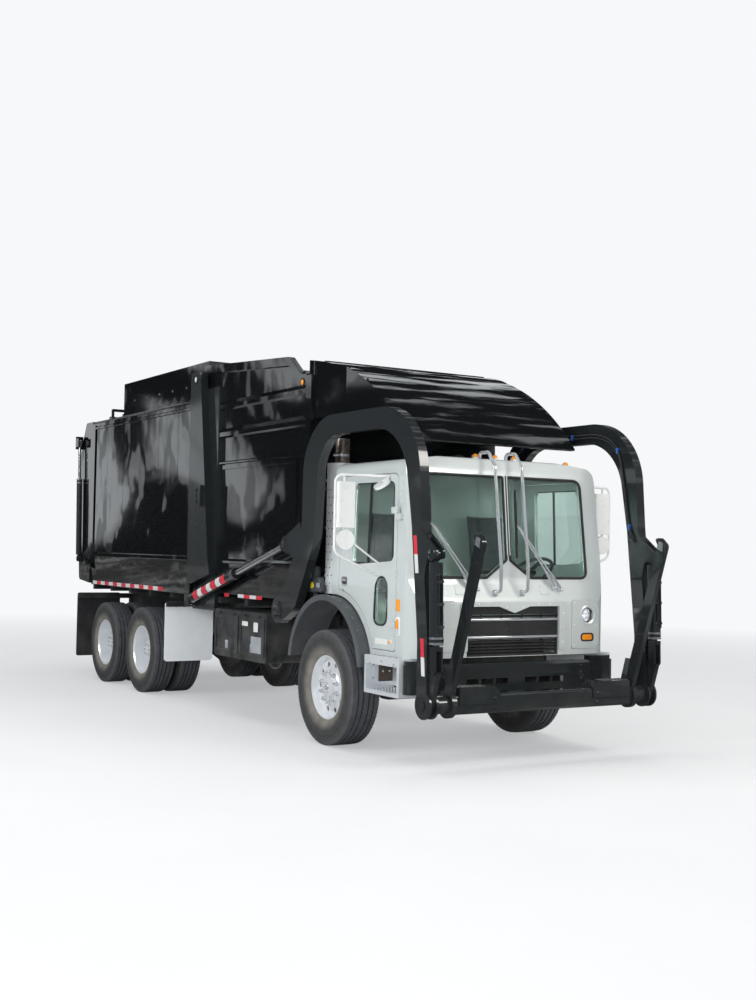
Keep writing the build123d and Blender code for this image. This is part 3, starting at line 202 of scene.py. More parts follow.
def clear_glass(name, colour):
    """Glass that lets lamp light through to what is behind it."""
    s = Surface(name)
    s.paint(colour, 0.02, 1.5)
    s.set(Transmission_Weight=1.0, IOR=1.45)
    s.bump(s.noise(3.0, 1.0), 0.0004)
    path = s.add("ShaderNodeLightPath")
    clear = s.add("ShaderNodeBsdfTransparent", {"Color": colour + (1.0,)})
    s.output(s.mix_shader(path.outputs["Is Shadow Ray"], s.shader.outputs["BSDF"],
                          clear.outputs["BSDF"]))
    return s.done(0.015, 0.01)


def brushed(name, colour, rough, stretch):
    """Metal with a drawn grain along one axis."""
    s = Surface(name)
    s.paint(colour, 0.09, 16.0)
    s.bump(s.noise(300.0, 2.0, 0.5, stretch), 0.0001)
    s.set(Metallic=1.0)
    return s.done(rough, 0.1, 25.0)


def ram_rod():
    """Bright rod whose clevis, the lowest part of the piece, is painted black."""
    s = Surface("ram_rod")
    low = min(v.co.z for v in nodes["fork_rods"].data.vertices)
    clevis = 0.24
    bright = s.span(s.height(), low + clevis - 0.004, low + clevis + 0.004, 0.0, 1.0)
    s.colour = s.mix(bright, (0.011, 0.013, 0.014, 1.0), (0.66, 0.68, 0.70, 1.0))
    s.bump(s.noise(260.0, 3.0), 0.0001)
    made = s.done(0.3, 0.05)
    s.link(s.span(bright, 0.0, 1.0, 0.28, 0.14), s.shader.inputs["Roughness"])
    s.link(bright, s.shader.inputs["Metallic"])
    return made


def woven():
    """Seat cloth: a fine weave from two crossed wave textures."""
    s = Surface("seat_weave")
    s.paint((0.060, 0.064, 0.072), 0.2, 30.0)
    heights = []
    for axis in ("X", "Z"):
        wave = s.add("ShaderNodeTexWave", {"Vector": s.coord, "Scale": 150.0, "Distortion": 0.6},
                     bands_direction=axis)
        heights.append(wave.outputs["Fac"])
    s.bump(s.times(*heights), 0.0006)
    s.set(Sheen_Weight=0.3)
    return s.done(0.85, 0.08)


cab_white = gloss_paint("cab_white", (0.575, 0.612, 0.598), 0.26, 1.4, 0.0006, 1.0, 0.02,
                        metallic=0.12)
panel_black = gloss_paint("panel_black", (0.0050, 0.0060, 0.0066), 0.035, 1.3, 0.014, 1.6, 0.03,
                          coat=1.0)
arm_black = gloss_paint("arm_black", (0.0135, 0.0165, 0.0175), 0.20, 4.0, 0.0015, 1.0, 0.08)
frame_black = plain("frame_black", (0.020, 0.022, 0.024), 0.55, grain=0.0004, grain_scale=90.0,
                    dust=0.5)
grille_black = plain("grille_black", (0.016, 0.016, 0.018), 0.34, coat=0.4, dust=0.2)
fender_plastic = plain("fender_plastic", (0.066, 0.073, 0.080), 0.42, grain=0.0003, dust=0.35,
                       dust_top=1.6)
rubber = plain("rubber", (0.022, 0.022, 0.024), 0.62, grain=0.0003, dust=0.15)
flap_white = plain("flap_white", (0.90, 0.92, 0.93), 0.40, spread=0.02, grain=0.0006,
                   grain_scale=6.0, dust=0.08, dust_top=0.8)
mirror_white = plain("mirror_white", (0.76, 0.765, 0.75), 0.30, spread=0.02, coat=0.4)
disc_metal = plain("disc_metal", (0.86, 0.875, 0.89), 0.30, metallic=0.45, spread=0.015,
                   grain=0.00004, rough_spread=0.02, coat=0.3)
shield_steel = plain("shield_steel", (0.84, 0.86, 0.87), 0.33, metallic=0.55, spread=0.02,
                     grain=0.00005, rough_spread=0.03)
chrome = plain("chrome", (0.80, 0.82, 0.85), 0.10, metallic=0.72, spread=0.04, grain=0.00005,
               rough_spread=0.05)
rod_chrome = brushed("rod_chrome", (0.66, 0.68, 0.70), 0.16, (1.0, 1.0, 0.05))
fork_rod = ram_rod()
step_alloy = plain("step_alloy", (0.82, 0.85, 0.88), 0.32, metallic=0.5, spread=0.02,
                   grain=0.00005, rough_spread=0.04, stretch=(0.05, 1.0, 1.0))
step_brown = plain("step_brown", (0.10, 0.075, 0.06), 0.5, metallic=0.3, spread=0.2)
stack_steel = brushed("stack_steel", (0.52, 0.44, 0.38), 0.32, (1.0, 1.0, 0.1))
castings = plain("castings", (0.045, 0.046, 0.048), 0.62, metallic=0.3, grain=0.0012,
                 grain_scale=70.0, dust=0.6)
dash_plastic = plain("dash_plastic", (0.045, 0.047, 0.052), 0.58, grain=0.0004)
moulded = {"spread": 0.12, "scale": 60.0, "grain": 0.0006, "grain_scale": 90.0, "coat": 0.8}
amber = plain("amber", (0.90, 0.31, 0.02), 0.18, **moulded)
red_lens = plain("red_lens", (0.55, 0.015, 0.012), 0.18, **moulded)
foil = {"scale": 80.0, "grain": 0.0004, "grain_scale": 240.0}
tape_red = plain("tape_red", (0.58, 0.025, 0.045), 0.36, spread=0.1, **foil)
tape_white = plain("tape_white", (0.62, 0.62, 0.60), 0.34, spread=0.06, **foil)
lamp_silver = plain("lamp_silver", (0.90, 0.91, 0.93), 0.16, metallic=0.45, spread=0.05,
                    scale=40.0, grain=0.0003, grain_scale=120.0)
lamp_clear = clear_glass("lamp_clear", (0.96, 0.97, 0.98))
window_glass = clear_glass("window_glass", (0.70, 0.80, 0.76))
mirror_face = plain("mirror_face", (0.86, 0.88, 0.90), 0.03, metallic=1.0, spread=0.02,
                    grain=0.00003, rough_spread=0.015)
clip_blue = plain("clip_blue", (0.03, 0.12, 0.45), 0.4)
cap_yellow = plain("cap_yellow", (0.80, 0.62, 0.03), 0.42)
plate_pale = plain("plate_pale", (0.70, 0.70, 0.66), 0.4, spread=0.05)
plate_grey = plain("plate_grey", (0.32, 0.34, 0.36), 0.45, spread=0.1)
worn_steel = plain("worn_steel", (0.36, 0.37, 0.38), 0.42, metallic=0.8, spread=0.25, scale=40.0,
                   grain=0.0005)
seat_cloth = woven()
tyre_black = tyre_rubber()

dressed = (
    (cab_white, "cab_shell door_left door_right"),
    (panel_black, "body_shell hopper canopy top_door tailgate"),
    (arm_black, "lift_arms forks body_posts fork_barrels lift_barrels tailgate_barrels packer "
                "bumper"),
    (frame_black, "arm_saddles frame_rails rear_bumper side_tanks subframe"),
    (step_alloy, "cab_steps"),
    (dash_plastic, "dashboard"),
    (fender_plastic, "front_fenders"),
    (grille_black, "grille"),
    (window_glass, "door_glass_left door_glass_right windscreen"),
    (castings, "engine front_axle knuckle_left knuckle_right rear_axles springs"),
    (chrome, "grab_rails"),
    (shield_steel, "exhaust"),
    (fork_rod, "fork_rods"),
    (rod_chrome, "lift_rods tailgate_rods"),
    (flap_white, "front_flaps"),
    (mirror_white, "mirror_left mirror_right"),
    (rubber, "rear_flaps front_tyre_left front_tyre_right mid_tyres_left mid_tyres_right "
             "rear_tyres_left rear_tyres_right"),
    (disc_metal, "front_wheel_left front_wheel_right mid_wheels_left mid_wheels_right "
                 "rear_wheels_left rear_wheels_right"),
    (lamp_silver, "headlamps"),
    (amber, "marker_lamps"),
    (seat_cloth, "seats"),
    (red_lens, "tail_lamps"),
)
for finish, members in dressed:
    for member in members.split():
        mesh = nodes[member].data
        mesh.materials.clear()
        mesh.materials.append(finish)


# Mesh helpers


def keep(name, bm, finish, body, soften=35, bevel=0.0):
    """Turn a bmesh into a named piece that rides on a body."""
    mesh = bpy.data.meshes.new(name)
    bm.normal_update()
    bm.to_mesh(mesh)
    bm.free()
    made = bpy.data.objects.new(name, mesh)
    bpy.context.scene.collection.objects.link(made)
    for each in finish if isinstance(finish, tuple) else (finish,):
        mesh.materials.append(each)
    mesh.shade_smooth()
    mesh.set_sharp_from_angle(angle=radians(soften))
    if bevel:
        rounder = made.modifiers.new("edges", "BEVEL")
        rounder.width = bevel
        rounder.segments = 2
        rounder.limit_method = "ANGLE"
        rounder.angle_limit = radians(40)
    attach(made, body)
    return made


def mark(made, index):
    """Set the material slot of the faces that a mesh operator made."""
    for face in {f for v in made["verts"] for f in v.link_faces}:
        face.material_index = index


def skin(bm, rings, index=0, closed=False):
    """Faces between rows of points, each row closed on itself. A row of one point is a tip."""
    for a, b in zip(rings, rings[1:] + (rings[:1] if closed else [])):
        count = max(len(a), len(b))
        for j in range(count):
            k = (j + 1) % count
            corners = (a[j % len(a)], a[k % len(a)], b[k % len(b)], b[j % len(b)])
            corners = list(dict.fromkeys(corners))
            if len(corners) > 2:
                bm.faces.new(corners).material_index = index


def solid(bm, rings, index=0):
    """A shut body from rows of points: its sides and both ends."""
    skin(bm, rings, index)
    for end in (rings[-1], rings[0][::-1]):
        bm.faces.new(end).material_index = index


def facing(direction):
    """A rotation that takes +Z to a direction."""
    return Vector(direction).to_track_quat("Z", "Y").to_matrix().to_4x4()


def add_box(bm, x, y, z, turn=Matrix.Identity(4)):
    """A box between two limits on each axis, turned about its middle if asked."""
    centre = at(sum(x) / 2, sum(y) / 2, sum(z) / 2)
    size = Matrix.Diagonal((x[1] - x[0], y[1] - y[0], z[1] - z[0], 1.0))
    bmesh.ops.create_cube(bm, size=1.0, matrix=Matrix.Translation(centre) @ turn @ size)


def add_rod(bm, start, end, r, sides=20, r_end=None, index=0):
    """A closed cylinder or cone between two points."""
    a, b = at(*start), at(*end)
    matrix = Matrix.Translation((a + b) / 2) @ facing(b - a)
    mark(bmesh.ops.create_cone(bm, cap_ends=True, segments=sides, radius1=r,
                               radius2=r if r_end is None else r_end, depth=(b - a).length,
                               matrix=matrix), index)


def add_bar(bm, a, b, width, depth, up, index=0):
    """A flat bar from a to b, its width along up."""
    start, end = at(*a), at(*b)
    along = (end - start).normalized()
    first = (Vector(up) - along * along.dot(Vector(up))).normalized()
    turn = Matrix((first, along.cross(first), along)).transposed().to_4x4()
    size = Matrix.Diagonal((width, depth, (end - start).length, 1.0))
    matrix = Matrix.Translation((start + end) / 2) @ turn @ size
    mark(bmesh.ops.create_cube(bm, size=1.0, matrix=matrix), index)


def spin(bm, rows, centre, axis, steps, index=0, closed=False):
    """Rows of (height along the axis, radius) turned about an axis through centre."""
    place = Matrix.Translation(at(*centre)) @ facing(axis)
    turns = [2 * pi * j / steps for j in range(steps)]
    rings = [[bm.verts.new(place @ Vector((r * cos(t), r * sin(t), h)))
              for t in (turns if r > 0 else turns[:1])] for h, r in rows]
    skin(bm, rings, index, closed)
    return rings


def add_dome(bm, base, direction, r, height, sides=20, rings=5, index=0):
    """A dome whose flat side is at base and whose top points along direction."""
    turns = [k / rings * pi / 2 for k in range(rings)]
    rows = [(height * sin(t), r * cos(t)) for t in turns] + [(height, 0.0)]
    foot = spin(bm, rows, base, direction, sides, index)[0]
    bm.faces.new(foot[::-1]).material_index = index


def add_sweep(bm, points, r, sides=8, closed=False):
    """A tube through points given in the frame."""
    count = len(points)
    turns = [2 * pi * j / sides for j in range(sides, 0, -1)]
    rings = []
    up = None
    for i, here in enumerate(points):
        before = points[i - 1] if closed or i else here
        after = points[(i + 1) % count] if closed or i < count - 1 else here
        along = (after - before).normalized()
        if up is None:
            up = along.orthogonal().normalized()
        side = along.cross(up).normalized()
        up = side.cross(along).normalized()
        rings.append([bm.verts.new(here + (side * cos(t) + up * sin(t)) * r) for t in turns])
    if not closed:
        solid(bm, rings)
        return
    # The rings may have twisted on their way round, so the first one is turned to the last
    options = [rings[0][s:] + rings[0][:s] for s in range(sides)]
    gaps = [sum((p.co - q.co).length for p, q in zip(rings[-1], option)) for option in options]
    skin(bm, rings + [options[gaps.index(min(gaps))]])


def smooth_path(points, steps):
    """Points of a Catmull-Rom curve through a few chosen ones, in the frame."""
    own = [at(*p) for p in points]
    own = own[:1] + own + own[-1:]
    result = []
    for p0, p1, p2, p3 in zip(own, own[1:], own[2:], own[3:]):
        for t in [k / steps for k in range(steps)]:
            result.append(0.5 * (2 * p1 + (p2 - p0) * t + (2 * p0 - 5 * p1 + 4 * p2 - p3) * t * t
                                 + (3 * p1 - p0 - 3 * p2 + p3) * t ** 3))
    return result + own[-1:]


def rounded(corners, steps=6):
    """A closed outline in a plane: rows of a, b, corner radius, each corner drawn as an arc."""
    points = []
    for i, (a, b, r) in enumerate(corners):
        here = Vector((a, b))
        before = Vector(corners[i - 1][:2]) - here
        after = Vector(corners[(i + 1) % len(corners)][:2]) - here
        half = before.angle(after) / 2
        reach = r / max(0.05, abs(sin(half) / cos(half)))
        start, end = here + before.normalized() * reach, here + after.normalized() * reach
        for t in [k / steps for k in range(steps + 1)]:
            points.append((1 - t) ** 2 * start + 2 * t * (1 - t) * here + t * t * end)
    return points


def panel(a0, a1, b0, b1, r, steps=6):
    """The outline of a rectangle with round corners."""
    return rounded([(a0, b0, r), (a1, b0, r), (a1, b1, r), (a0, b1, r)], steps)


def circle(a, b, r, count, shift=0.0):
    """Points evenly round a circle in a plane, turned on by a share of their spacing."""
    turns = [2 * pi * (k + shift) / count for k in range(count)]
    return [(a + r * cos(t), b + r * sin(t)) for t in turns]


def hex_heads(bm, places, direction, r, height, index=0, washer=True):
    """Hexagon bolt heads, each on a washer, at places along one direction."""
    way = Vector(direction).normalized()
    for foot in [Vector(place) for place in places]:
        if washer:
            add_rod(bm, foot, foot + way * height * 0.25, r * 1.35, 12, index=index)
        add_rod(bm, foot + way * height * 0.2, foot + way * height, r, 6, index=index)


def button_heads(bm, places, direction, r, height, index=0):
    """Low domed rivets or screw heads."""
    for place in places:
        add_dome(bm, place, direction, r, height, 10, 3, index)


def row(start, end, count):
    """Evenly spaced numbers from start to end, both in."""
    return [start + (end - start) * i / (count - 1) for i in range(count)]


def shell_patch(bm, outline, inner, place, depth):
    """A raised frame: the ring between two outlines of equal length, given thickness.
    place turns plane coordinates and a height into a point of the truck."""
    rings = []
    for line, height in ((outline, 0.0), (outline, depth), (inner, depth), (inner, 0.0)):
        rings.append([bm.verts.new(at(*place(p.x, p.y, height))) for p in line])
    skin(bm, rings, closed=True)


def lens(bm, outline, place, depth, index=0):
    """A softly domed plate over an outline: an upright edge, then a rounded top."""
    centre = sum(outline, Vector((0, 0))) / len(outline)
    rings = []
    for scale, height in ((1.0, 0.0), (1.0, depth * 0.6), (0.93, depth * 0.85), (0.75, depth)):
        line = [centre + (p - centre) * scale for p in outline]
        rings.append([bm.verts.new(at(*place(p.x, p.y, height))) for p in line])
    solid(bm, rings, index)


trees = {}


def touch(name, start, way):
    """Where a ray from a point first meets a CAD node. The point itself if it misses."""
    if name not in trees:
        mesh, matrix = nodes[name].data, nodes[name].matrix_world
        trees[name] = BVHTree.FromPolygons([matrix @ v.co for v in mesh.vertices],
                                           [tuple(p.vertices) for p in mesh.polygons])
    place = trees[name].ray_cast(at(*start), Vector(way))[0]
    if place is None:
        return tuple(start)
    return (place.x, place.y - axle_y, place.z)


def side_hit(name, out, y, z):
    """Where a level ray from the truck's side meets a node."""
    return touch(name, (out * beside, y, z), (-out, 0, 0))


def front_hit(name, x, z):
    """Where a level ray from ahead of the truck meets a node."""
    return touch(name, (x, ahead, z), along_y)


def sticker(bm, name, corners, way, lift=0.0015, index=0):
    """A thin sheet laid on a node: its corners are dropped onto the surface along a direction."""
    step = Vector(way).normalized()
    falls = [(Vector(touch(name, c, way)) - Vector(c)).dot(step) for c in corners]
    met = sorted(f for f in falls if f > 0)
    if not met:
        return
    hits = [Vector(c) + step * (f if f > 0 else met[len(met) // 2]) for c, f in zip(corners, falls)]
    solid(bm, [[bm.verts.new(at(*(h - step * depth))) for h in hits] for depth in (-0.0015, lift)],
          index)


def side_patch(bm, name, out, corners, lift=0.0015, index=0):
    """A thin sheet on the truck's side, with its corners given as (y, z)."""
    sticker(bm, name, [(out * beside, y, z) for y, z in corners], (-out, 0, 0), lift, index)


# Camera, lights and floor

# Camera fitted to the photo: place from the front axle, turn, focal length and frame offset
camera_place = (-7.1263, -10.6359, 1.8489)
camera_yaw, camera_pitch, camera_roll = 0.5443, 0.0365, 0.0192
camera_lens = 46.69
camera_shift = (0.00165, 0.00039)


def camera():
    look = Vector((sin(camera_yaw) * cos(camera_pitch), cos(camera_yaw) * cos(camera_pitch),
                   sin(camera_pitch)))
    level = Vector((cos(camera_yaw), -sin(camera_yaw), 0.0))
    top = level.cross(look)
    right = level * cos(camera_roll) + top * sin(camera_roll)
    up = top * cos(camera_roll) - level * sin(camera_roll)
    data = bpy.data.cameras.new("camera")
    data.lens = camera_lens
    data.sensor_width = 36.0
    data.shift_x, data.shift_y = camera_shift
    data.clip_end = 300.0
    made = bpy.data.objects.new("camera", data)
    turn = Matrix((right, up, -look)).transposed()
    made.matrix_world = Matrix.Translation(at(*camera_place)) @ turn.to_4x4()
    bpy.context.scene.collection.objects.link(made)
    bpy.context.scene.camera = made


def lights():
    """A pale world, a broad top light, a key light in front and two fills on the near side.
    Glossy rays see dark and bright patches instead of the plain world."""
    world = bpy.data.worlds.new("world")
    bpy.context.scene.world = world
    world.use_nodes = True
    g = Graph(world.node_tree)
    ground = g.tree.nodes["Background"]
    ground.inputs["Color"].default_value = (0.82, 0.87, 0.93, 1.0)
    ground.inputs["Strength"].default_value = 0.40
    way = g.add("ShaderNodeTexCoord").outputs["Generated"]
    patches = g.add("ShaderNodeTexNoise", {"Vector": way, "Scale": 13.0, "Detail": 4.0,
                                           "Distortion": 0.6})
    shade = g.add("ShaderNodeValToRGB", {"Fac": patches.outputs["Fac"]})
    for k, (place, tone) in enumerate(((0.53, 0.010), (0.585, 0.80))):
        shade.color_ramp.elements[k].position = place
        shade.color_ramp.elements[k].color = (tone * 0.95, tone, tone * 1.03, 1.0)
    path = g.add("ShaderNodeLightPath")
    last = ground.outputs["Background"]
    for ray, colour in (("Is Glossy Ray", shade.outputs["Color"]),
                        ("Is Transmission Ray", (0.80, 0.83, 0.85, 1.0)),
                        ("Is Camera Ray", (0.93, 0.94, 0.95, 1.0))):
        seen = g.add("ShaderNodeBackground", {"Color": colour})
        last = g.mix_shader(path.outputs[ray], last, seen.outputs["Background"])
    g.link(last, g.tree.nodes["World Output"].inputs["Surface"])
    # Each row: name, place, aim, width and height, watts, colour
    table = (
        ("top_light", (0.0, 2.0, 12.0), (0.0, 1.5, 0.0), (12.0, 9.0), 1050.0, (1.0, 0.98, 0.95)),
        ("key_light", (5.0, -12.0, 9.0), (0.0, 0.0, 1.6), (6.0, 5.0), 950.0, (1.0, 0.97, 0.92)),
        ("side_light", (-13.0, 1.0, 7.0), (0.0, 2.0, 2.0), (8.0, 3.5), 750.0, (0.93, 0.97, 1.0)),
        ("low_fill", (-9.0, -10.0, 3.0), (0.0, 2.0, 1.0), (5.0, 3.0), 700.0, (0.97, 0.98, 1.0)),
    )
    for name, place, aim, size, power, tint in table:
        data = bpy.data.lights.new(name, "AREA")
        data.shape = "RECTANGLE"
        data.size, data.size_y = size
        data.energy = power
        data.color = tint
        made = bpy.data.objects.new(name, data)
        made.visible_glossy = name not in ("top_light", "low_fill")
        made.location = at(*place)
        made.rotation_euler = (at(*aim) - at(*place)).to_track_quat("-Z", "Y").to_euler()
        bpy.context.scene.collection.objects.link(made)


def floor():
    """A wide pale floor that fades into the backdrop. Glossy rays see soft patches on it."""
    bm = bmesh.new()
    bmesh.ops.create_grid(bm, x_segments=4, y_segments=4, size=90.0)
    mesh = bpy.data.meshes.new("floor")
    bm.to_mesh(mesh)
    bm.free()
    made = bpy.data.objects.new("floor", mesh)
    bpy.context.scene.collection.objects.link(made)
    s = Surface("floor_pale")
    s.paint((0.74, 0.75, 0.755), 0.03, 0.6)
    s.bump(s.noise(60.0, 3.0), 0.0004)
    mesh.materials.append(s.done(0.62, 0.06))
    far = s.add("ShaderNodeVectorMath", {0: s.coord}, operation="LENGTH")
    away = s.span(far.outputs["Value"], 4.0, 20.0, 0.42, 1.0)
    path = s.add("ShaderNodeLightPath")
    pale = s.add("ShaderNodeEmission", {"Color": (0.93, 0.94, 0.95, 1.0)})
    seen = s.mix_shader(s.times(away, path.outputs["Is Camera Ray"]), s.shader.outputs["BSDF"],
                        pale.outputs["Emission"])
    bright = s.span(s.noise(0.42, 4.0, 0.6), 0.50, 0.62, 0.07, 0.50)
    spots = s.add("ShaderNodeEmission", {"Strength": bright})
    s.output(s.mix_shader(path.outputs["Is Glossy Ray"], seen, spots.outputs["Emission"]))


# Tyres and wheels


def radius(name):
    """Half of a node's height."""
    low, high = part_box(name)
    return (high.z - low.z) / 2


def outer_x(name, out):
    """The outermost x of a node on one side."""
    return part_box(name)[1 if out > 0 else 0].x


def tread_tyre(bm, centre, x_mid, r, width, out, zigzag, pitches, marks):
    """One tyre: beads, ribbed walls, notched shoulders and zigzag grooves between ribs.
    marks takes each vertex's share of the bead's and of the tread's colour."""
    rim_r, half = 0.286, width / 2
    groove, slot_half, notch = 0.013, 0.0045, 0.006
    tread_half = half - 0.020
    wall_mid = (rim_r + r) / 2 - 0.012
    profile = [(-half + 0.050, rim_r + 0.001, 1.0, 0.0), (-half + 0.022, rim_r + 0.026, 1.0, 0.0),
               (-half + 0.018, rim_r + 0.034, 1.0, 0.0), (-half + 0.012, rim_r + 0.050, 0.9, 0.0),
               (-half + 0.003, wall_mid - 0.030, 0.5, 0.0), (-half, wall_mid, 0.15, 0.0),
               (-half + 0.002, wall_mid + 0.040, 0.1, 0.0), (-half, wall_mid + 0.046, 0.1, 0.0),
               (-half + 0.003, wall_mid + 0.054, 0.1, 0.0), (-half + 0.008, r - 0.040, 0.2, 0.0),
               (-half + 0.013, r - 0.016, 0.2, 0.6), (-tread_half, r - 0.003, 0.0, 1.0)]
    lines = []
    for x in [lane * tread_half for lane in (-0.60, -0.22, 0.22, 0.60)]:
        lines += [(x - slot_half * 2.0, r, 0.0, 1.0), (x - slot_half, r - groove, 0.0, 0.0),
                  (x + slot_half, r - groove, 0.0, 0.0), (x + slot_half * 2.0, r, 0.0, 1.0)]
    first, last = len(profile), len(profile) + len(lines)
    rows = profile + lines + [(-dx, q, bead, tread) for dx, q, bead, tread in reversed(profile)]
    rings = []
    for j in range(pitches * 4):
        angle = 2 * pi * j / (pitches * 4)
        sway = (abs(j % 4 - 2) - 1) * zigzag
        ring = []
        for i, (dx, q, bead, tread) in enumerate(rows):
            if first <= i < last:
                dx += sway
            elif j % 4 == 0 and first - 2 <= i < last + 2:
                q -= notch
            ring.append(bm.verts.new(at(x_mid + out * dx, centre[0] + q * cos(angle),
                                        centre[1] + q * sin(angle))))
            marks.append((bead, tread))
        rings.append(ring[::-1] if out > 0 else ring)
    skin(bm, rings, closed=True)


def tyres():
    """Treaded tyres in the place of the plain ones."""
    front_r, rear_r = radius("front_tyre_left"), radius("mid_tyres_left")
    front_width, rear_width, twin = 0.315, 0.279, 0.343
    table = []
    for side, out in both:
        name = f"front_tyre_{side}"
        x = outer_x(name, out) - out * front_width / 2
        table.append((name, f"front_{side}_wheel", 0.0, front_r, front_width, [x], out, 0.004, 78))
        for place, y in zip(("mid", "rear"), tandem_y):
            name = f"{place}_tyres_{side}"
            x = outer_x(name, out) - out * rear_width / 2
            table.append((name, f"{place}_{side}_wheels", y, rear_r, rear_width,
                          [x, x - out * twin], out, 0.006, 60))
    for name, body, y, r, width, middles, out, zigzag, pitches in table:
        bm = bmesh.new()
        marks = []
        for x in middles:
            tread_tyre(bm, (y, r), x, r, width, out, zigzag, pitches, marks)
        made = keep(f"{name}_tread", bm, tyre_black, body, soften=50)
        for k, key in enumerate(("bead", "tread")):
            layer = made.data.attributes.new(key, "FLOAT", "POINT")
            layer.data.foreach_set("value", [m[k] for m in marks])
        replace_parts(made, name)


def wheel_nuts():
    """Nuts with studs and hub caps on the front wheels, nuts deep in the rear ones."""
    front_r, rear_r = middle("front_tyre_left").z, middle("mid_tyres_left").z
    nut_circle, nut_r, nut_height = 0.1425, 0.0165, 0.028
    for side, out in both:
        way = (out, 0, 0)
        hub = outer_x(f"front_wheel_{side}", out)
        disc = hub - out * 0.036
        bm = bmesh.new()
        for y, z in circle(0.0, front_r, nut_circle, 10, 0.5):
            hex_heads(bm, [(disc, y, z)], way, nut_r, nut_height)
            add_rod(bm, (disc, y, z), (disc + out * 0.042, y, z), 0.010, 12, 0.008)
        caps = [(hub - out * 0.001, y, z) for y, z in circle(0.0, front_r, 0.048, 6)]
        hex_heads(bm, caps, way, 0.006, 0.007)
        add_dome(bm, (hub - out * 0.002, 0.0, front_r), way, 0.034, 0.012, 24)
        keep(f"wheel_nuts_front_{side}", bm, chrome, f"front_{side}_wheel")
        for place, y0 in zip(("mid", "rear"), tandem_y):
            disc = outer_x(f"{place}_wheels_{side}", out) - out * 0.2405
            hub = disc + out * 0.167
            bm = bmesh.new()
            nuts = [(disc, y, z) for y, z in circle(y0, rear_r, nut_circle, 10, 0.5)]
            hex_heads(bm, nuts, way, nut_r, nut_height)
            hex_heads(bm, [(hub, y, z) for y, z in circle(y0, rear_r, 0.066, 8)], way, 0.008, 0.009)
            keep(f"wheel_nuts_{place}_{side}", bm, chrome, f"{place}_{side}_wheels")


# Cab front


def screen_y(z):
    """The windscreen's outer face at a height."""
    foot_y, foot_z, rake = -1.207, 1.575, 0.1
    return foot_y + (z - foot_z) * rake


def screen_trim():
    """Rubber seals round both panes and a strip between them."""
    bm = bmesh.new()
    for out in (1, -1):
        line = rounded([(0.022, 1.758, 0.02), (0.250, 1.600, 0.05), (0.905, 1.600, 0.07),
                        (0.880, 2.515, 0.09), (0.022, 2.515, 0.03)])
        add_sweep(bm, [at(out * p.x, screen_y(p.y) - 0.003, p.y) for p in line], 0.013, 8, True)
    lean, strip_z = Matrix.Rotation(-0.0997, 4, "X"), (1.800, 2.530)
    add_box(bm, (-0.005, 0.005), (-1.168, -1.152), strip_z, lean)
    keep("screen_seals", bm, rubber, "truck", 60)
    bm = bmesh.new()
    for x in ((0.006, 0.020), (-0.020, -0.006)):
        add_box(bm, x, (-1.164, -1.150), strip_z, lean)
    keep("screen_divider", bm, cab_white, "truck", bevel=0.002)


def wiper(arms, blades, pivot):
    """Two arms side by side from the cowl to one upright blade."""
    blade_z, low, high = 2.07, 1.78, 2.40
    tip = Vector((pivot - 0.385, screen_y(blade_z) - 0.034, blade_z))
    for shift, lift in ((0.0, 0.0), (0.062, -0.018)):
        foot = Vector(front_hit("cab_shell", pivot + shift, 1.512 + lift))
        nose = foot + Vector(forward) * 0.045
        add_rod(arms, foot, nose, 0.021, 16, 0.015)
        add_dome(arms, nose, forward, 0.015, 0.008, 12)
        hand = tip + Vector((shift * 0.5, 0.004, lift))
        knee = foot.lerp(hand, 0.25) + Vector(forward) * 0.035
        add_bar(arms, foot + Vector(forward) * 0.038, knee, 0.026, 0.014, (1, 0, 0.7))
        add_bar(arms, knee, hand, 0.015, 0.008, (1, 0, 0.7))
    add_bar(arms, tip + Vector((-0.008, 0, 0)), tip + Vector((0.04, 0.004, -0.018)), 0.012, 0.010,
            along_z)
    for z0, z1, off, width, depth in ((low, high, 0.020, 0.014, 0.010),
                                      (low + 0.10, high - 0.10, 0.020, 0.022, 0.010),
                                      (low, high, 0.009, 0.005, 0.012)):
        add_bar(blades, (tip.x - 0.01, screen_y(z0) - off, z0), (tip.x, screen_y(z1) - off, z1),
                width, depth, along_x)


def wipers():
    """A wiper for each pane, with a screwed cover plate on the cowl beside its pivots."""
    arms, blades, plates = bmesh.new(), bmesh.new(), bmesh.new()
    for pivot in (0.485, -0.455):
        wiper(arms, blades, pivot)
        x, y, z = front_hit("cab_shell", pivot - 0.11, 1.490)
        add_box(plates, (x - 0.055, x + 0.055), (y - 0.004, y + 0.004), (z - 0.045, z + 0.045),
                Matrix.Rotation(-0.42, 4, "X"))
        for dx in (-0.042, 0.042):
            for dz in (-0.033, 0.033):
                seat = Vector(front_hit("cab_shell", x + dx, z + dz))
                add_dome(plates, seat + Vector(forward) * 0.003, (0, -1, 0.4), 0.006, 0.005, 10, 3)
    keep("wiper_arms", arms, chrome, "truck", bevel=0.001)
    keep("wiper_blades", blades, rubber, "truck", bevel=0.001)
    keep("cowl_plates", plates, cab_white, "truck", bevel=0.002)


def rail_feet():
    """Thicker grab rails, and round flanges with screws where they meet the cowl."""
    low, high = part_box("grab_rails")
    grown = nodes["grab_rails"].modifiers.new("grown", "DISPLACE")
    grown.strength, grown.mid_level = 0.005, 0.0
    bm = bmesh.new()
    way = Vector((0, -1, 0.12))
    for x in (low.x + 0.011, high.x - 0.011):
        foot = Vector(front_hit("cab_shell", x, low.z + 0.015))
        add_rod(bm, foot, foot + way * 0.012, 0.034, 20, 0.030)
        add_rod(bm, foot, foot + way * 0.030, 0.018, 16, 0.014)
        screws = [foot + Vector((dx, -0.012, 0)) for dx in (-0.023, 0.023)]
        button_heads(bm, screws, way, 0.006, 0.004)
    keep("rail_feet", bm, chrome, "truck", bevel=0.001)


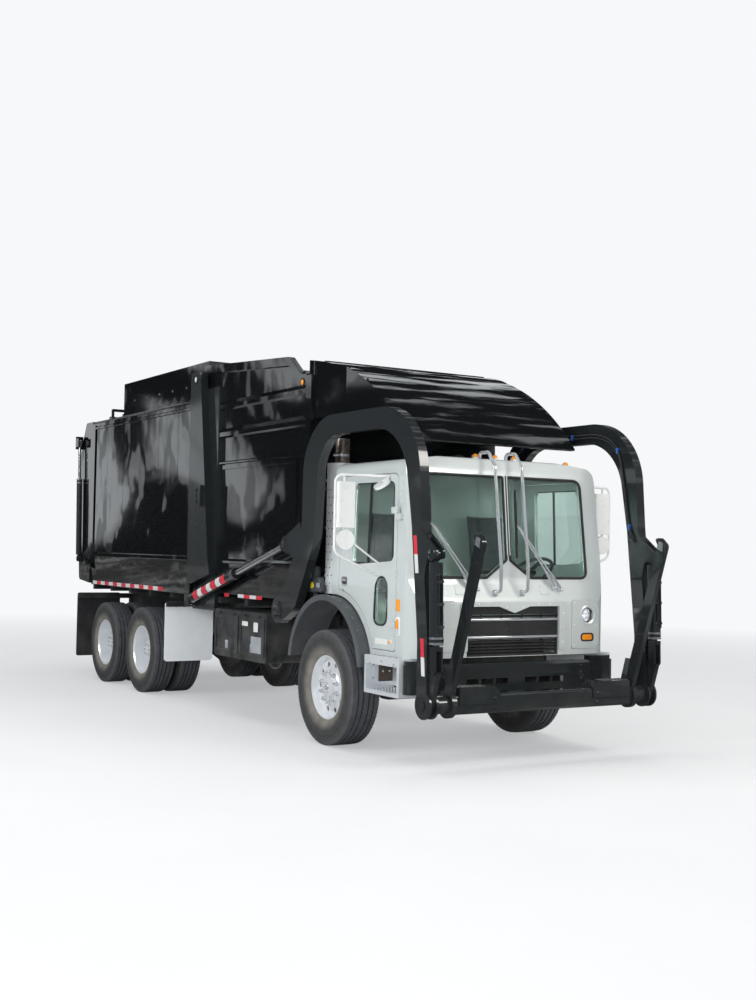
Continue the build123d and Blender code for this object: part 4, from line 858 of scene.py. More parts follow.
def grille_trim():
    """Two bright strips, a dark band between them and the bolts of the white frame."""
    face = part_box("grille")[0].y - axle_y
    bm = bmesh.new()
    for z in (1.228, 1.072):
        for half, y, rise, width, depth in ((0.502, 0.004, 0.0, 0.020, 0.018),
                                            (0.498, 0.012, 0.004, 0.008, 0.010)):
            add_bar(bm, (-half, face - y, z + rise), (half, face - y, z + rise), width, depth,
                    along_z)
    keep("grille_strips", bm, chrome, "truck", bevel=0.002)
    bm = bmesh.new()
    add_box(bm, (-0.500, 0.500), (face - 0.003, face + 0.006), (1.083, 1.217))
    button_heads(bm, [(x, face - 0.003, 1.15) for x in (-0.470, 0.470)], forward, 0.007, 0.004)
    keep("grille_band", bm, grille_black, "truck", bevel=0.002)
    bm = bmesh.new()
    frame_bolts = [(x, 1.366) for x in (0.27, 0.40, 0.53)]
    frame_bolts += [(0.556, z) for z in (1.28, 1.15, 1.02)] + [(0.09, 1.338)]
    corner_bolts = [(0.688, 1.375), (0.688, 1.17), (0.688, 0.985), (0.835, 1.375), (0.955, 1.17),
                    (0.955, 0.99), (0.940, 1.345)]
    for out in (1, -1):
        for spots, r, height in ((frame_bolts, 0.0085, 0.005), (corner_bolts, 0.007, 0.004)):
            places = [front_hit("cab_shell", out * x, z) for x, z in spots]
            button_heads(bm, places, forward, r, height)
    keep("front_bolts", bm, disc_metal, "truck")


def headlamp(x, face, z, side):
    """A round lamp: rubber rim, bright ring, seven reflectors and a clear cover."""
    r = 0.074
    bm = bmesh.new()
    spin(bm, [(0.0, r + 0.018), (0.010, r + 0.018), (0.016, r + 0.008), (0.010, r - 0.004),
              (0.0, r - 0.004)], (x, face, z), forward, 40, 3, True)
    spin(bm, [(0.004, r - 0.004), (0.004, r - 0.010), (-0.020, r - 0.012), (-0.020, r - 0.002)],
         (x, face, z), forward, 40, 0, True)
    spin(bm, [(-0.020, 0.0), (-0.020, r - 0.006), (-0.012, r - 0.006), (-0.012, 0.0)],
         (x, face, z), forward, 40, 1)
    for cx, cz in [(x, z)] + circle(x, z, 0.042, 6):
        spin(bm, [(-0.010, 0.004), (-0.004, 0.012), (0.006, 0.020), (0.006, 0.0215),
                  (-0.012, 0.0205), (-0.012, 0.004)], (cx, face, cz), forward, 16, 1, True)
        add_dome(bm, (cx, face + 0.011, cz), forward, 0.006, 0.006, 10, 3, 2)
    spin(bm, [(0.010, 0.0), (0.0095, 0.03), (0.007, 0.055), (0.004, r - 0.005),
              (0.001, r - 0.005), (0.004, 0.055), (0.0065, 0.03), (0.007, 0.0)],
         (x, face, z), forward, 40, 2)
    return keep(f"headlamp_{side}", bm, (rubber, lamp_silver, lamp_clear, disc_metal), "truck",
                40)


def turn_lamp(x, face, z, side):
    """An oval amber lamp in a black bezel, ribbed inside."""
    bm = bmesh.new()
    bezel = panel(-0.078, 0.078, -0.040, 0.040, 0.036)
    inner = panel(-0.062, 0.062, -0.027, 0.027, 0.026)
    shell_patch(bm, bezel, inner, lambda a, b, h: (x + a, face + 0.006 - h, z + b), 0.014)
    lens(bm, inner, lambda a, b, h: (x + a, face + 0.004 - h, z + b), 0.012, 1)
    for a in row(-0.044, 0.044, 5):
        add_bar(bm, (x + a, face - 0.010, z - 0.018), (x + a, face - 0.010, z + 0.018), 0.010,
                0.004, along_x, 1)
    return keep(f"turn_lamp_{side}", bm, (rubber, amber), "truck", 40)


def front_lamps():
    """Headlamps above turn lamps, both in the place of the plain ones."""
    lamp_x, head_z, turn_z = 0.845, 1.261, 1.056
    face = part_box("headlamps")[0].y - axle_y + 0.020
    for side, out in both:
        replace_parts(headlamp(out * lamp_x, face, head_z, side), "headlamps")
        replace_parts(turn_lamp(out * lamp_x, face, turn_z, side), "headlamps")


def roof_lamps():
    """Amber bullet lamps on white pads along the roof's front edge."""
    pads, lenses, y = bmesh.new(), bmesh.new(), -0.96
    for x in (-0.84, -0.22, 0.0, 0.22, 0.84):
        z = touch("cab_shell", (x, y, 3.0), down)[2]
        add_rod(pads, (x, y, z - 0.002), (x, y, z + 0.012), 0.030, 24, 0.027)
        add_box(pads, (x - 0.020, x + 0.020), (y + 0.001, y + 0.029), (z, z + 0.030))
        add_rod(lenses, (x, y, z + 0.012), (x, y, z + 0.030), 0.025, 20, 0.023)
        add_dome(lenses, (x, y, z + 0.030), along_z, 0.023, 0.014, 20, 4)
    made = keep("roof_lamp_lenses", lenses, amber, "truck")
    keep("roof_lamp_pads", pads, cab_white, "truck", bevel=0.002)
    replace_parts(made, "marker_lamps")


def bumper_details():
    """Paired bolts and a mesh behind the bumper's slots."""
    bm = bmesh.new()
    bolts = [front_hit("bumper", out * x, z) for out in (1, -1) for x in (0.747, 0.792)
             for z in (0.796, 0.736, 0.676)]
    hex_heads(bm, bolts, forward, 0.011, 0.010)
    keep("bumper_bolts", bm, arm_black, "truck")
    bm = bmesh.new()
    low, high, pitch, rise = 0.625, 0.755, 0.030, 0.0261
    for x0, x1 in ((-0.56, -0.27), (-0.24, 0.24), (0.27, 0.56)):
        for i in range(int((x1 - x0) / pitch)):
            for j in range(int((high - low) / rise)):
                x, z = x0 + (i + 0.5 + 0.5 * (j % 2)) * pitch, low + (j + 0.5) * rise
                spin(bm, [(-0.004, 0.0140), (-0.004, 0.0185), (0.004, 0.0185), (0.004, 0.0140)],
                     (x, -1.262, z), forward, 6, closed=True)
        add_box(bm, (x0 - 0.010, x1 + 0.010), (-1.256, -1.250), (0.618, 0.762))
    keep("bumper_mesh", bm, grille_black, "truck")


# Cab sides


def side_face(z, out, y):
    """The outer face of the door, or where it misses of the cab, as x."""
    for name in ("door_left" if out > 0 else "door_right", "cab_shell"):
        x = side_hit(name, out, y, z)[0]
        if abs(x) < beside:
            return x
    raise ValueError(f"no cab face at {y}, {z}")


def side_lamps():
    """Reflector, side turn lamp, round marker and a blank badge on each side of the cab."""
    marker_y, marker_z = -0.958, 1.024
    for side, out in both:
        bm = bmesh.new()
        for y, z, a, b, r, index in ((-1.078, 1.352, 0.030, 0.052, 0.004, 1),
                                     (-1.078, 1.170, 0.036, 0.085, 0.030, 0)):
            x = side_face(z, out, y)
            lens(bm, panel(-a, a, -b, b, r),
                 lambda p, q, h: (x + out * (h - 0.004), y + p, z + q), 0.010, index)
        lens(bm, panel(-0.016, 0.016, -0.055, 0.055, 0.015),
             lambda p, q, h: (x + out * (h + 0.004), -1.082 + p, 1.178 + q), 0.012, 1)
        x = side_face(marker_z, out, marker_y)
        spin(bm, [(-0.004, 0.0), (-0.004, 0.025), (0.006, 0.022), (0.006, 0.0)],
             (x, marker_y, marker_z), (out, 0, 0), 20)
        add_dome(bm, (x + out * 0.005, marker_y, marker_z), (out, 0, 0), 0.018, 0.010, 18, 4, 1)
        x = side_face(1.02, out, -0.80)
        plate = bmesh.new()
        lens(plate, panel(-0.905, -0.700, 0.994, 1.046, 0.010),
             lambda p, q, h: (x + out * (h - 0.003), p, q), 0.005)
        keep(f"door_badge_plate_{side}", plate, plate_pale, f"{side}_door", 40)
        keep(f"side_lamps_{side}", bm, (mirror_white, amber), "truck", 40)


def glass_line(side, out, y, z0, z1):
    """A function that gives the door glass's outer face as x at a height."""
    low, high = [side_hit(f"door_glass_{side}", out, y, z)[0] for z in (z0, z1)]
    return lambda z: low + (high - low) * (z - z0) / (z1 - z0)


def window_trim(side, out):
    """Rubber round the door's window and its low peep window, and the window's divider bar."""
    body = f"{side}_door"
    bm = bmesh.new()
    window_x = glass_line(side, out, -0.5, 1.75, 2.40)
    loop = rounded([(-0.164, 1.705, 0.05), (-0.945, 1.705, 0.06), (-0.930, 2.440, 0.07),
                    (-0.190, 2.440, 0.07)], 5)
    fine = [p.lerp(q, k / 4) for p, q in zip(loop, loop[1:] + loop[:1]) for k in range(4)]
    add_sweep(bm, [at(window_x(p.y) + out * 0.006, p.x, p.y) for p in fine], 0.010, 8, True)
    peep_x = glass_line(side, out, -0.78, 1.22, 1.54)
    peep = panel(-0.675, -0.895, 1.165, 1.590, 0.09)
    add_sweep(bm, [at(peep_x(p.y) + out * 0.006, p.x, p.y) for p in peep], 0.009, 8, True)
    keep(f"door_seals_{side}", bm, rubber, body, 60)
    bm = bmesh.new()
    for lift, width in ((0.004, 0.026), (0.010, 0.014)):
        ends = [(window_x(z) + out * lift, -0.525, z) for z in (1.70, 2.44)]
        add_bar(bm, *ends, width, 0.010, along_y)
    keep(f"door_divider_{side}", bm, rubber, body, bevel=0.001)


def door_details():
    """Window trim, handles with their recess and lock, and hinges on both doors."""
    for side, out in both:
        body, way, hinge_y, pin_y = f"{side}_door", (out, 0, 0), -1.020, -1.048
        window_trim(side, out)
        x = side_face(1.535, out, -0.105)
        recess, pull = bmesh.new(), bmesh.new()
        hole = panel(-0.178, -0.087, 1.503, 1.567, 0.022)
        shell_patch(pull, panel(-0.190, -0.075, 1.492, 1.578, 0.03), hole,
                    lambda p, q, h: (x + out * (h - 0.001), p, q), 0.005)
        lens(recess, hole, lambda p, q, h: (x + out * (h - 0.0005), p, q), 0.002)
        add_bar(pull, (x + out * 0.009, -0.168, 1.545), (x + out * 0.009, -0.096, 1.545), 0.024,
                0.009, along_z)
        spin(pull, [(0.0, 0.0), (0.0, 0.016), (0.008, 0.014), (0.008, 0.0)],
             (side_face(1.45, out, -0.12), -0.12, 1.45), way, 20)
        keep(f"door_handle_{side}", pull, chrome, body, bevel=0.001)
        keep(f"door_recess_{side}", recess, dash_plastic, body)
        bm = bmesh.new()
        for z in (1.06, 1.62, 2.30):
            pin_x = side_face(z, out, hinge_y) - out * 0.002
            for foot in (z - 0.051, z - 0.016, z + 0.019):
                add_rod(bm, (pin_x, pin_y, foot), (pin_x, pin_y, foot + 0.032), 0.009, 14)
            bolts = [(side_face(q, out, hinge_y), hinge_y, q) for q in (z - 0.028, z + 0.028)]
            hex_heads(bm, bolts, way, 0.007, 0.006)
        keep(f"door_hinges_{side}", bm, cab_white, body)


def mirror_details():
    """Mirror glass in dark rims, and bracket bolts."""
    for side, out in both:
        body, name = f"{side}_door", f"mirror_{side}"
        glass, dark = bmesh.new(), bmesh.new()
        edge = panel(0.0, 1.0, 0.0, 1.0, 0.10)
        inner = [Vector((0.5 + (p.x - 0.5) * 0.9, 0.5 + (p.y - 0.5) * 0.93)) for p in edge]
        for z0, z1 in ((2.175, 2.405), (2.035, 2.155)):
            hits = [Vector(touch(name, (out * x, 1.0, z), forward)) for x, z in
                    ((1.392, z0), (1.538, z0), (1.538, z1), (1.392, z1))]

            def place(a, b, h):
                spot = hits[0].lerp(hits[1], a).lerp(hits[3].lerp(hits[2], a), b)
                return (spot.x, spot.y + h - 0.001, spot.z)

            shell_patch(dark, edge, inner, place, 0.007)
            lens(glass, inner, place, 0.003)
        keep(f"mirror_glass_{side}", glass, mirror_face, body)
        bolts = [side_hit(name, out, -0.11, z + dz) for z in (1.70, 2.44) for dz in (-0.018, 0.018)]
        hex_heads(dark, [b for b in bolts if abs(b[0]) < 1.3], (out, 0, 0), 0.006, 0.006)
        keep(f"mirror_rims_{side}", dark, rubber, body)


def fender_details():
    """Bright bolts along each front fender."""
    wheel_z, r, x = middle("front_tyre_left").z, 0.640, 1.17
    for side, out in both:
        bolts = bmesh.new()
        for angle in [radians(38 + k * 13.5) for k in range(9)]:
            y, z = r * cos(angle), wheel_z + r * sin(angle) + 0.05
            spot = touch("front_fenders", (out * x, y * 1.6, z * 1.6), (0, -y, -z + 0.3))
            if abs(spot[1]) < 0.8 and spot[2] < 1.5:
                button_heads(bolts, [spot], (0, spot[1], spot[2] - wheel_z), 0.008, 0.005)
        keep(f"fender_bolts_{side}", bolts, chrome, "truck")


def step_details():
    """Teeth on the steps' treads, their bolts, and a back panel with a brown plate."""
    for side, out in both:
        bm = bmesh.new()
        for z in (0.61, 0.90):
            for x in [out * (0.93 + k * 0.030) for k in range(8)]:
                for y in row(-1.13, -0.73, 9):
                    spot = touch("cab_steps", (x, y, z + 0.20), down)
                    if abs(spot[2] - z) < 0.06:
                        spin(bm, [(-0.001, 0.005), (-0.001, 0.010), (0.004, 0.008),
                                  (0.004, 0.005)], spot, along_z, 8, closed=True)
        keep(f"step_teeth_{side}", bm, worn_steel, "truck")
        bm = bmesh.new()
        spots = [side_hit("cab_steps", out, y, z) for y, z in
                 ((-1.15, 0.64), (-1.15, 0.84), (-0.76, 0.64), (-0.76, 0.84), (-0.95, 0.86))]
        hex_heads(bm, [s for s in spots if abs(s[0]) < 1.3], (out, 0, 0), 0.009, 0.008)
        keep(f"step_bolts_{side}", bm, chrome, "truck")
        bm = bmesh.new()
        back, wall = out * 0.893, touch("cab_steps", (out * 1.03, -0.95, 0.75), along_y)[1]
        lens(bm, panel(-1.222, -0.678, 0.615, 0.885, 0.008),
             lambda p, q, h: (back + out * h, p, q), 0.004)
        lens(bm, panel(0.900, 1.050, 0.655, 0.845, 0.008),
             lambda p, q, h: (out * p, wall + 0.001 - h, q), 0.006, 1)
        hex_heads(bm, [(out * x, wall - 0.004, 0.745) for x in (0.935, 1.005)], forward, 0.007,
                  0.006, 2)
        hex_heads(bm, [(out * 1.105, wall, z) for z in (0.69, 0.80)], forward, 0.009, 0.007, 2)
        keep(f"step_back_{side}", bm, (step_alloy, step_brown, chrome), "truck")


def air_unit():
    """The dark air dryer behind the right of the cab, with its yellow cap, label and strut."""
    y, z, back, face = 0.53, 1.475, -1.045, -1.103
    bm = bmesh.new()
    shape = rounded([(-0.215, -0.070, 0.03), (0.085, -0.070, 0.03), (0.085, 0.070, 0.03),
                     (-0.180, 0.085, 0.05)])
    lens(bm, shape, lambda p, q, h: (back - 0.005 - h, y + p, z + q), 0.055)
    spin(bm, [(0.0, 0.0), (0.0, 0.048), (0.10, 0.048), (0.118, 0.036), (0.118, 0.0)],
         (back, y, z + 0.065), along_z, 28)
    foot = touch("front_fenders", (back, y, 1.35), down)[2]
    add_bar(bm, (back, y, foot - 0.003), (back, y, z - 0.065), 0.07, 0.012, along_y)
    bolts = [(face, y + dy, z + dz) for dz in (-0.045, 0.045) for dy in (-0.16, 0.06)]
    hex_heads(bm, bolts, (-1, 0, 0), 0.008, 0.007)
    spin(bm, [(0.0, 0.0), (0.0, 0.032), (0.008, 0.032), (0.012, 0.028), (0.012, 0.0)],
         (face, y - 0.045, z), (-1, 0, 0), 20, 1)
    lens(bm, panel(0.335, 0.405, 1.455, 1.500, 0.006), lambda p, q, h: (face - 0.001 - h, p, q),
         0.002, 2)
    keep("air_dryer", bm, (fender_plastic, cap_yellow, plate_grey), "truck", 40)


def stack_details():
    """A pierced bright heat shield, its bands, and a browned stack above it."""
    cx, cy = -0.885, 0.330
    bm = bmesh.new()
    for k in range(13):
        for j in range(14):
            angle = pi * 0.75 + j * pi / 11 + (k % 2) * pi / 22
            way = Vector((cos(angle), sin(angle), 0.0))
            spot = touch("exhaust", Vector((cx, cy, 1.50 + k * 0.075)) + way * 0.5, -way)
            if 0.12 <= hypot(spot[0] - cx, spot[1] - cy) <= 0.3:
                spin(bm, [(-0.001, 0.0), (-0.001, 0.007), (0.0008, 0.007), (0.0008, 0.0)], spot,
                     way, 8)
    keep("shield_holes", bm, grille_black, "truck")
    bm = bmesh.new()
    skin_foot, top = 2.56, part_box("exhaust")[1].z - 0.004
    spin(bm, [(skin_foot - top, 0.0690), (0.0, 0.0690), (0.0, 0.0715), (skin_foot - top, 0.0715)],
         (cx, cy, top), along_z, 40, closed=True)
    keep("stack_skin", bm, stack_steel, "truck", 60)
    bm = bmesh.new()
    for z in (2.60, 2.74):
        spin(bm, [(-0.012, 0.0712), (-0.012, 0.0745), (0.012, 0.0745), (0.012, 0.0712)],
             (cx, cy, z), along_z, 40, closed=True)
        for y in (cy - 0.015, cy):
            add_bar(bm, (cx - 0.10, y, z), (cx - 0.072, y, z), 0.022, 0.006, along_z)
        add_rod(bm, (cx - 0.090, cy - 0.030, z), (cx - 0.090, cy + 0.014, z), 0.005, 10)
    keep("stack_clamps", bm, chrome, "truck")


# Body and tanks


def body_welds():
    """Weld beads up and along the body's side sheets."""
    bm = bmesh.new()
    for out in (1, -1):
        beads = [(y - 0.003, y + 0.003, z0, z1) for y in (3.72, 4.33, 4.94, 5.55, 6.16)
                 for z0, z1 in ((1.72, 2.58), (2.62, 3.36))]
        beads += [(3.66 + 0.61 * k, 4.20 + 0.61 * k, 2.596, 2.606) for k in range(5)]
        for y0, y1, z0, z1 in beads:
            side_patch(bm, "body_shell", out, [(y0, z0), (y1, z0), (y1, z1), (y0, z1)], 0.0014)
    keep("body_welds", bm, panel_black, "truck", 60)


def canopy_corners():
    """Closing sheets at the canopy's rear top corners: a wedge that widens, then a plate."""
    # The top edge follows the canopy's arc, given by its centre and radius
    arc_y, arc_z, arc_r, bottom = 0.95, 1.21, 2.5, 3.495
    wedge = list(zip(row(0.15, 0.56, 10), row(0.962, 1.085, 10), [0.950] * 10))
    for side, out in both:
        bm = bmesh.new()
        rings = []
        for y, x, inner in wedge + [(0.563, 1.086, 1.066), (0.665, 1.088, 1.066)]:
            top = arc_z + sqrt(arc_r ** 2 - (arc_y - y) ** 2)
            rings.append([bm.verts.new(at(out * across, y, z)) for across, z in
                          ((inner, top), (x, top), (x, bottom), (inner, bottom))])
        solid(bm, rings)
        keep(f"canopy_corner_{side}", bm, panel_black, "truck", bevel=0.003)


def body_details():
    """Bolts of the top door and the canopy, and the body's marker lamps."""
    bm = bmesh.new()
    for out in (1, -1):
        bolts = [side_hit("top_door", out, y, 3.745) for y in (4.0, 4.445, 4.877, 5.313, 5.754)]
        hex_heads(bm, bolts, (out, 0, 0), 0.011, 0.009)
    keep("top_door_bolts", bm, worn_steel, "lid")
    lenses, rims = bmesh.new(), bmesh.new()
    for out in (1, -1):
        for index, (name, y, z) in enumerate((("hopper", 0.74, 3.479),
                                              ("body_posts", 3.184, 3.742))):
            spot = side_hit(name, out, y, z)
            spin(rims, [(-0.002, 0.0), (-0.002, 0.043), (0.004, 0.043), (0.010, 0.038),
                        (0.010, 0.032), (0.004, 0.032), (0.004, 0.0)], spot, (out, 0, 0), 28)
            add_dome(lenses, (spot[0] + out * 0.003, spot[1], spot[2]), (out, 0, 0), 0.031, 0.012,
                     24, 4, index)
    keep("body_lamp_rims", rims, rubber, "truck")
    keep("body_lamp_lenses", lenses, (amber, plate_pale), "truck")
    bm = bmesh.new()
    tops = [touch("canopy", (x, y, 5.0), down) for x in (-0.93, 0.93) for y in (-0.55, -0.20, 0.15)]
    hex_heads(bm, tops, (0, -0.3, 1), 0.010, 0.009)
    fronts = [touch("hopper", (x, -1.0, 3.22), along_y) for x in row(-0.9, 0.9, 7)]
    hex_heads(bm, fronts, forward, 0.011, 0.010)
    keep("canopy_bolts", bm, arm_black, "truck")


def tank_details():
    """Door edges, hinges, latches and blank plates on the side boxes."""
    low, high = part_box("side_tanks")
    y0, y1 = low.y - axle_y, high.y - axle_y
    mid_y, mid_z = (y0 + y1) / 2, (low.z + high.z) / 2
    tall = (high.z - low.z) / 2 - 0.05
    for side, out in both:
        bm, metal = bmesh.new(), bmesh.new()
        for a, b in ((y0 + 0.04, mid_y - 0.02), (mid_y + 0.02, y1 - 0.04)):
            wide, mid = (b - a) / 2, (a + b) / 2
            x = side_hit("side_tanks", out, mid, 0.90)[0]
            edge = panel(-wide, wide, -tall, tall, 0.03)
            inner = panel(-wide + 0.02, wide - 0.02, -tall + 0.02, tall - 0.02, 0.02)
            shell_patch(bm, edge, inner,
                        lambda p, q, h: (x + out * (h - 0.001), mid + p, mid_z + q), 0.005)
            hinge_x, hinge_z = x + out * 0.006, mid_z + tall + 0.012
            for y in (mid - wide * 0.6, mid + wide * 0.6):
                add_rod(bm, (hinge_x, y - 0.03, hinge_z), (hinge_x, y + 0.03, hinge_z), 0.008, 12)
            latch_z = mid_z - tall + 0.085
            lens(metal, panel(-0.034, 0.034, -0.045, 0.045, 0.012),
                 lambda p, q, h: (x + out * h, mid + p, latch_z + q), 0.006)
            add_bar(metal, (x + out * 0.008, mid, latch_z - 0.025),
                    (x + out * 0.008, mid, latch_z + 0.027), 0.030, 0.006, along_y)
        keep(f"tank_edges_{side}", bm, frame_black, "truck", bevel=0.001)
        keep(f"tank_latches_{side}", metal, chrome, "truck", bevel=0.001)
        bm = bmesh.new()
        # Plates: front and rear edge, bottom and top, pale or grey
        for a, b, z0, z1, index in ((1.74, 1.88, 1.00, 1.06, 0), (1.50, 1.60, 0.95, 1.06, 0),
                                    (1.42, 1.66, 0.72, 0.90, 1)):
            x = side_hit("side_tanks", out, (a + b) / 2, (z0 + z1) / 2)[0]
            lens(bm, panel(a, b, z0, z1, 0.006), lambda p, q, h: (x + out * h, p, q), 0.0025,
                 index)
            screws = [(x + out * 0.002, y, z1 - 0.010) for y in (a + 0.010, b - 0.010)]
            button_heads(bm, screws, (out, 0, 0), 0.004, 0.003, 1)
        keep(f"blank_plates_{side}", bm, (plate_pale, plate_grey), "truck")


def rear_details():
    """Tail lamps in rims, a blank number plate and the bolts of the flaps."""
    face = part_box("tail_lamps")[1].y - axle_y - 0.028
    bm = bmesh.new()
    edge = panel(-0.070, 0.070, -0.060, 0.060, 0.020)
    inner = panel(-0.060, 0.060, -0.050, 0.050, 0.014)
    for out in (1, -1):
        for x, index in ((out * 0.775, 1), (out * 0.925, 2)):
            shell_patch(bm, edge, inner, lambda p, q, h: (x + p, face + h, 2.07 + q), 0.022)
            lens(bm, inner, lambda p, q, h: (x + p, face + h, 2.07 + q), 0.020, index)
    made = keep("tail_lamp_lenses", bm, (rubber, red_lens, amber), "rear_gate")
    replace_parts(made, "tail_lamps")
    bm = bmesh.new()
    back = touch("tailgate", (0.0, behind, 1.55), forward)[1] - 0.006
    lens(bm, panel(-0.155, 0.155, 1.47, 1.62, 0.012),
         lambda p, q, h: (p, back + h + (q - 1.55) * 0.03, q), 0.006)
    keep("number_plate", bm, plate_pale, "rear_gate")
    bm = bmesh.new()
    for x in [out * x for out in (1, -1) for x in (0.70, 0.80, 1.00, 1.10)]:
        for name, start, z, way in (("rear_flaps", 6.8, 1.08, 1), ("rear_flaps", 8.0, 1.08, -1),
                                    ("front_flaps", 3.0, 1.10, 1)):
            spot = touch(name, (x, start, z), (0, way, 0))
            hex_heads(bm, [spot], (0, -way, 0), 0.012, 0.008)
    keep("flap_bolts", bm, plate_pale, "truck")


def tape(bm, name, start, end, z, height, pieces, out):
    """Red and white reflective tape along a side, from start to end, in equal pieces."""
    places = row(start, end, pieces + 1)
    for k, (y0, y1) in enumerate(zip(places, places[1:])):
        side_patch(bm, name, out, [(y0, z - height / 2), (y1, z - height / 2),
                                   (y1, z + height / 2), (y0, z + height / 2)], index=k % 2)


def reflective_tape():
    """Tape on the lower edges of the body and the hopper, on the arms and on the tailgate."""
    for side, out in both:
        bm = bmesh.new()
        tape(bm, "body_shell", 4.156, 6.70, 1.302, 0.046, 16, out)
        tape(bm, "hopper", 1.62, 2.21, 1.298, 0.038, 4, out)
        tape(bm, "hopper", 2.44, 2.56, 1.298, 0.038, 1, out)
        keep(f"body_tape_{side}", bm, (tape_red, tape_white), "truck")
        bm = bmesh.new()
        for ends in (((-1.545, 1.959), (-1.585, 1.645)), ((-1.678, 1.11), (-1.704, 0.802))):
            ys, zs = row(ends[0][0], ends[1][0], 3), row(ends[0][1], ends[1][1], 3)
            for k in range(2):
                side_patch(bm, "lift_arms", out,
                           [(ys[k] - 0.025, zs[k]), (ys[k] + 0.025, zs[k]),
                            (ys[k + 1] + 0.025, zs[k + 1]), (ys[k + 1] - 0.025, zs[k + 1])],
                           index=k)
        keep(f"arm_tape_{side}", bm, (tape_red, tape_white), "arms")
    bm = bmesh.new()
    low, high, length = 1.40, 1.45, 0.12
    for start in (-1.08, 0.60):
        for k in range(4):
            a, b = start + k * length, start + (k + 1) * length
            corners = [(x, behind, z) for x, z in ((b, low), (a, low), (a, high), (b, high))]
            sticker(bm, "tailgate", corners, forward, index=k % 2)
    keep("gate_tape", bm, (tape_red, tape_white), "rear_gate")


# Lifting gear


def arm_details():
    """Hoses, clips, bolted pin covers and washers on the lift arms."""
    run = [(0.90, 1.30), (0.62, 1.62), (0.44, 1.95), (0.325, 2.35), (0.29, 2.68), (0.10, 2.93),
           (-0.20, 2.985), (-0.70, 2.985), (-1.12, 2.965), (-1.36, 2.82), (-1.455, 2.50),
           (-1.535, 2.10), (-1.60, 1.98)]
    for side, out in both:
        inner, face, way = out * 1.15, out * 1.24, (out, 0, 0)
        bm, clips = bmesh.new(), bmesh.new()
        for shift in (0.0, 0.030):
            points = [(inner - out * 0.013, y, z - shift) for y, z in run]
            add_sweep(bm, smooth_path(points, 7), 0.008, 10)
        for y, z in run[1::2]:
            add_box(clips, sorted((inner - out * 0.024, inner + out * 0.001)),
                    (y - 0.010, y + 0.010), (z - 0.042, z + 0.012))
        keep(f"arm_hoses_{side}", bm, rubber, "arms", 60)
        keep(f"arm_clips_{side}", clips, clip_blue, "arms", bevel=0.003)
        bm = bmesh.new()
        # Pin covers: the pin's place, the cover's radius and how many bolts hold it
        for y, z, r, bolts in ((-1.80, 1.80, 0.052, 3), (0.84, 1.868, 0.050, 3),
                               (0.95, 1.21, 0.095, 6)):
            spin(bm, [(-0.004, 0.0), (-0.004, r), (0.004, r), (0.006, r - 0.004), (0.006, 0.0)],
                 (face - out * 0.001, y, z), way, 32)
            places = [(face + out * 0.005, cy, cz) for cy, cz in circle(y, z, r * 0.7, bolts)]
            hex_heads(bm, places, way, 0.009, 0.009, washer=False)
        for y, z in ((-1.585, 1.50), (-1.60, 1.36)):
            spin(bm, [(-0.003, 0.008), (-0.003, 0.017), (0.0025, 0.017), (0.0025, 0.008)],
                 (face, y, z), way, 20, closed=True)
        keep(f"arm_plates_{side}", bm, arm_black, "arms")


def ram_pipes(bm, start, way, side_way, r, length, out):
    """Two pipes along a barrel, held by three clamps."""
    for shift, stop in ((-0.016, 0.16), (0.016, 0.10)):
        across = Vector((out * shift, 0, 0))
        a, b = start + across + way * 0.16, start + across + way * (length - stop)
        off, foot = side_way * (r + 0.010), side_way * (r - 0.004)
        path = [a + foot, a + off + way * 0.012, a + off + way * 0.05, b + off - way * 0.05,
                b + off - way * 0.012, b + foot]
        add_sweep(bm, smooth_path(path, 5), 0.0075, 10)
    for share in (0.30, 0.55, 0.80):
        spot = start + way * (length * share) + side_way * (r + 0.004)
        half = Vector((0.030, 0, 0))
        add_bar(bm, spot - half, spot + half, 0.022, 0.022, way)


def ram_tape(start, way, side_way, r, side, out):
    """Seven pieces of tape in a row, bent over the outer side of a lift barrel."""
    bm = bmesh.new()
    for k in range(7):
        middle_point = start + way * (0.26 + k * 0.125)
        rings = []
        for angle in [radians(-58 + 12 * step) for step in range(9)]:
            outward = Vector((out * cos(angle), 0, 0)) + side_way * sin(angle)
            rings.append([bm.verts.new(at(*(middle_point + way * u + outward * q))) for u, q in
                          ((-0.055, r - 0.0005), (-0.055, r + 0.0012), (0.055, r + 0.0012),
                           (0.055, r - 0.0005))])
        solid(bm, rings, k % 2)
    bmesh.ops.recalc_face_normals(bm, faces=bm.faces)
    keep(f"lift_ram_tape_{side}", bm, (tape_red, tape_white), "lift_cylinders")


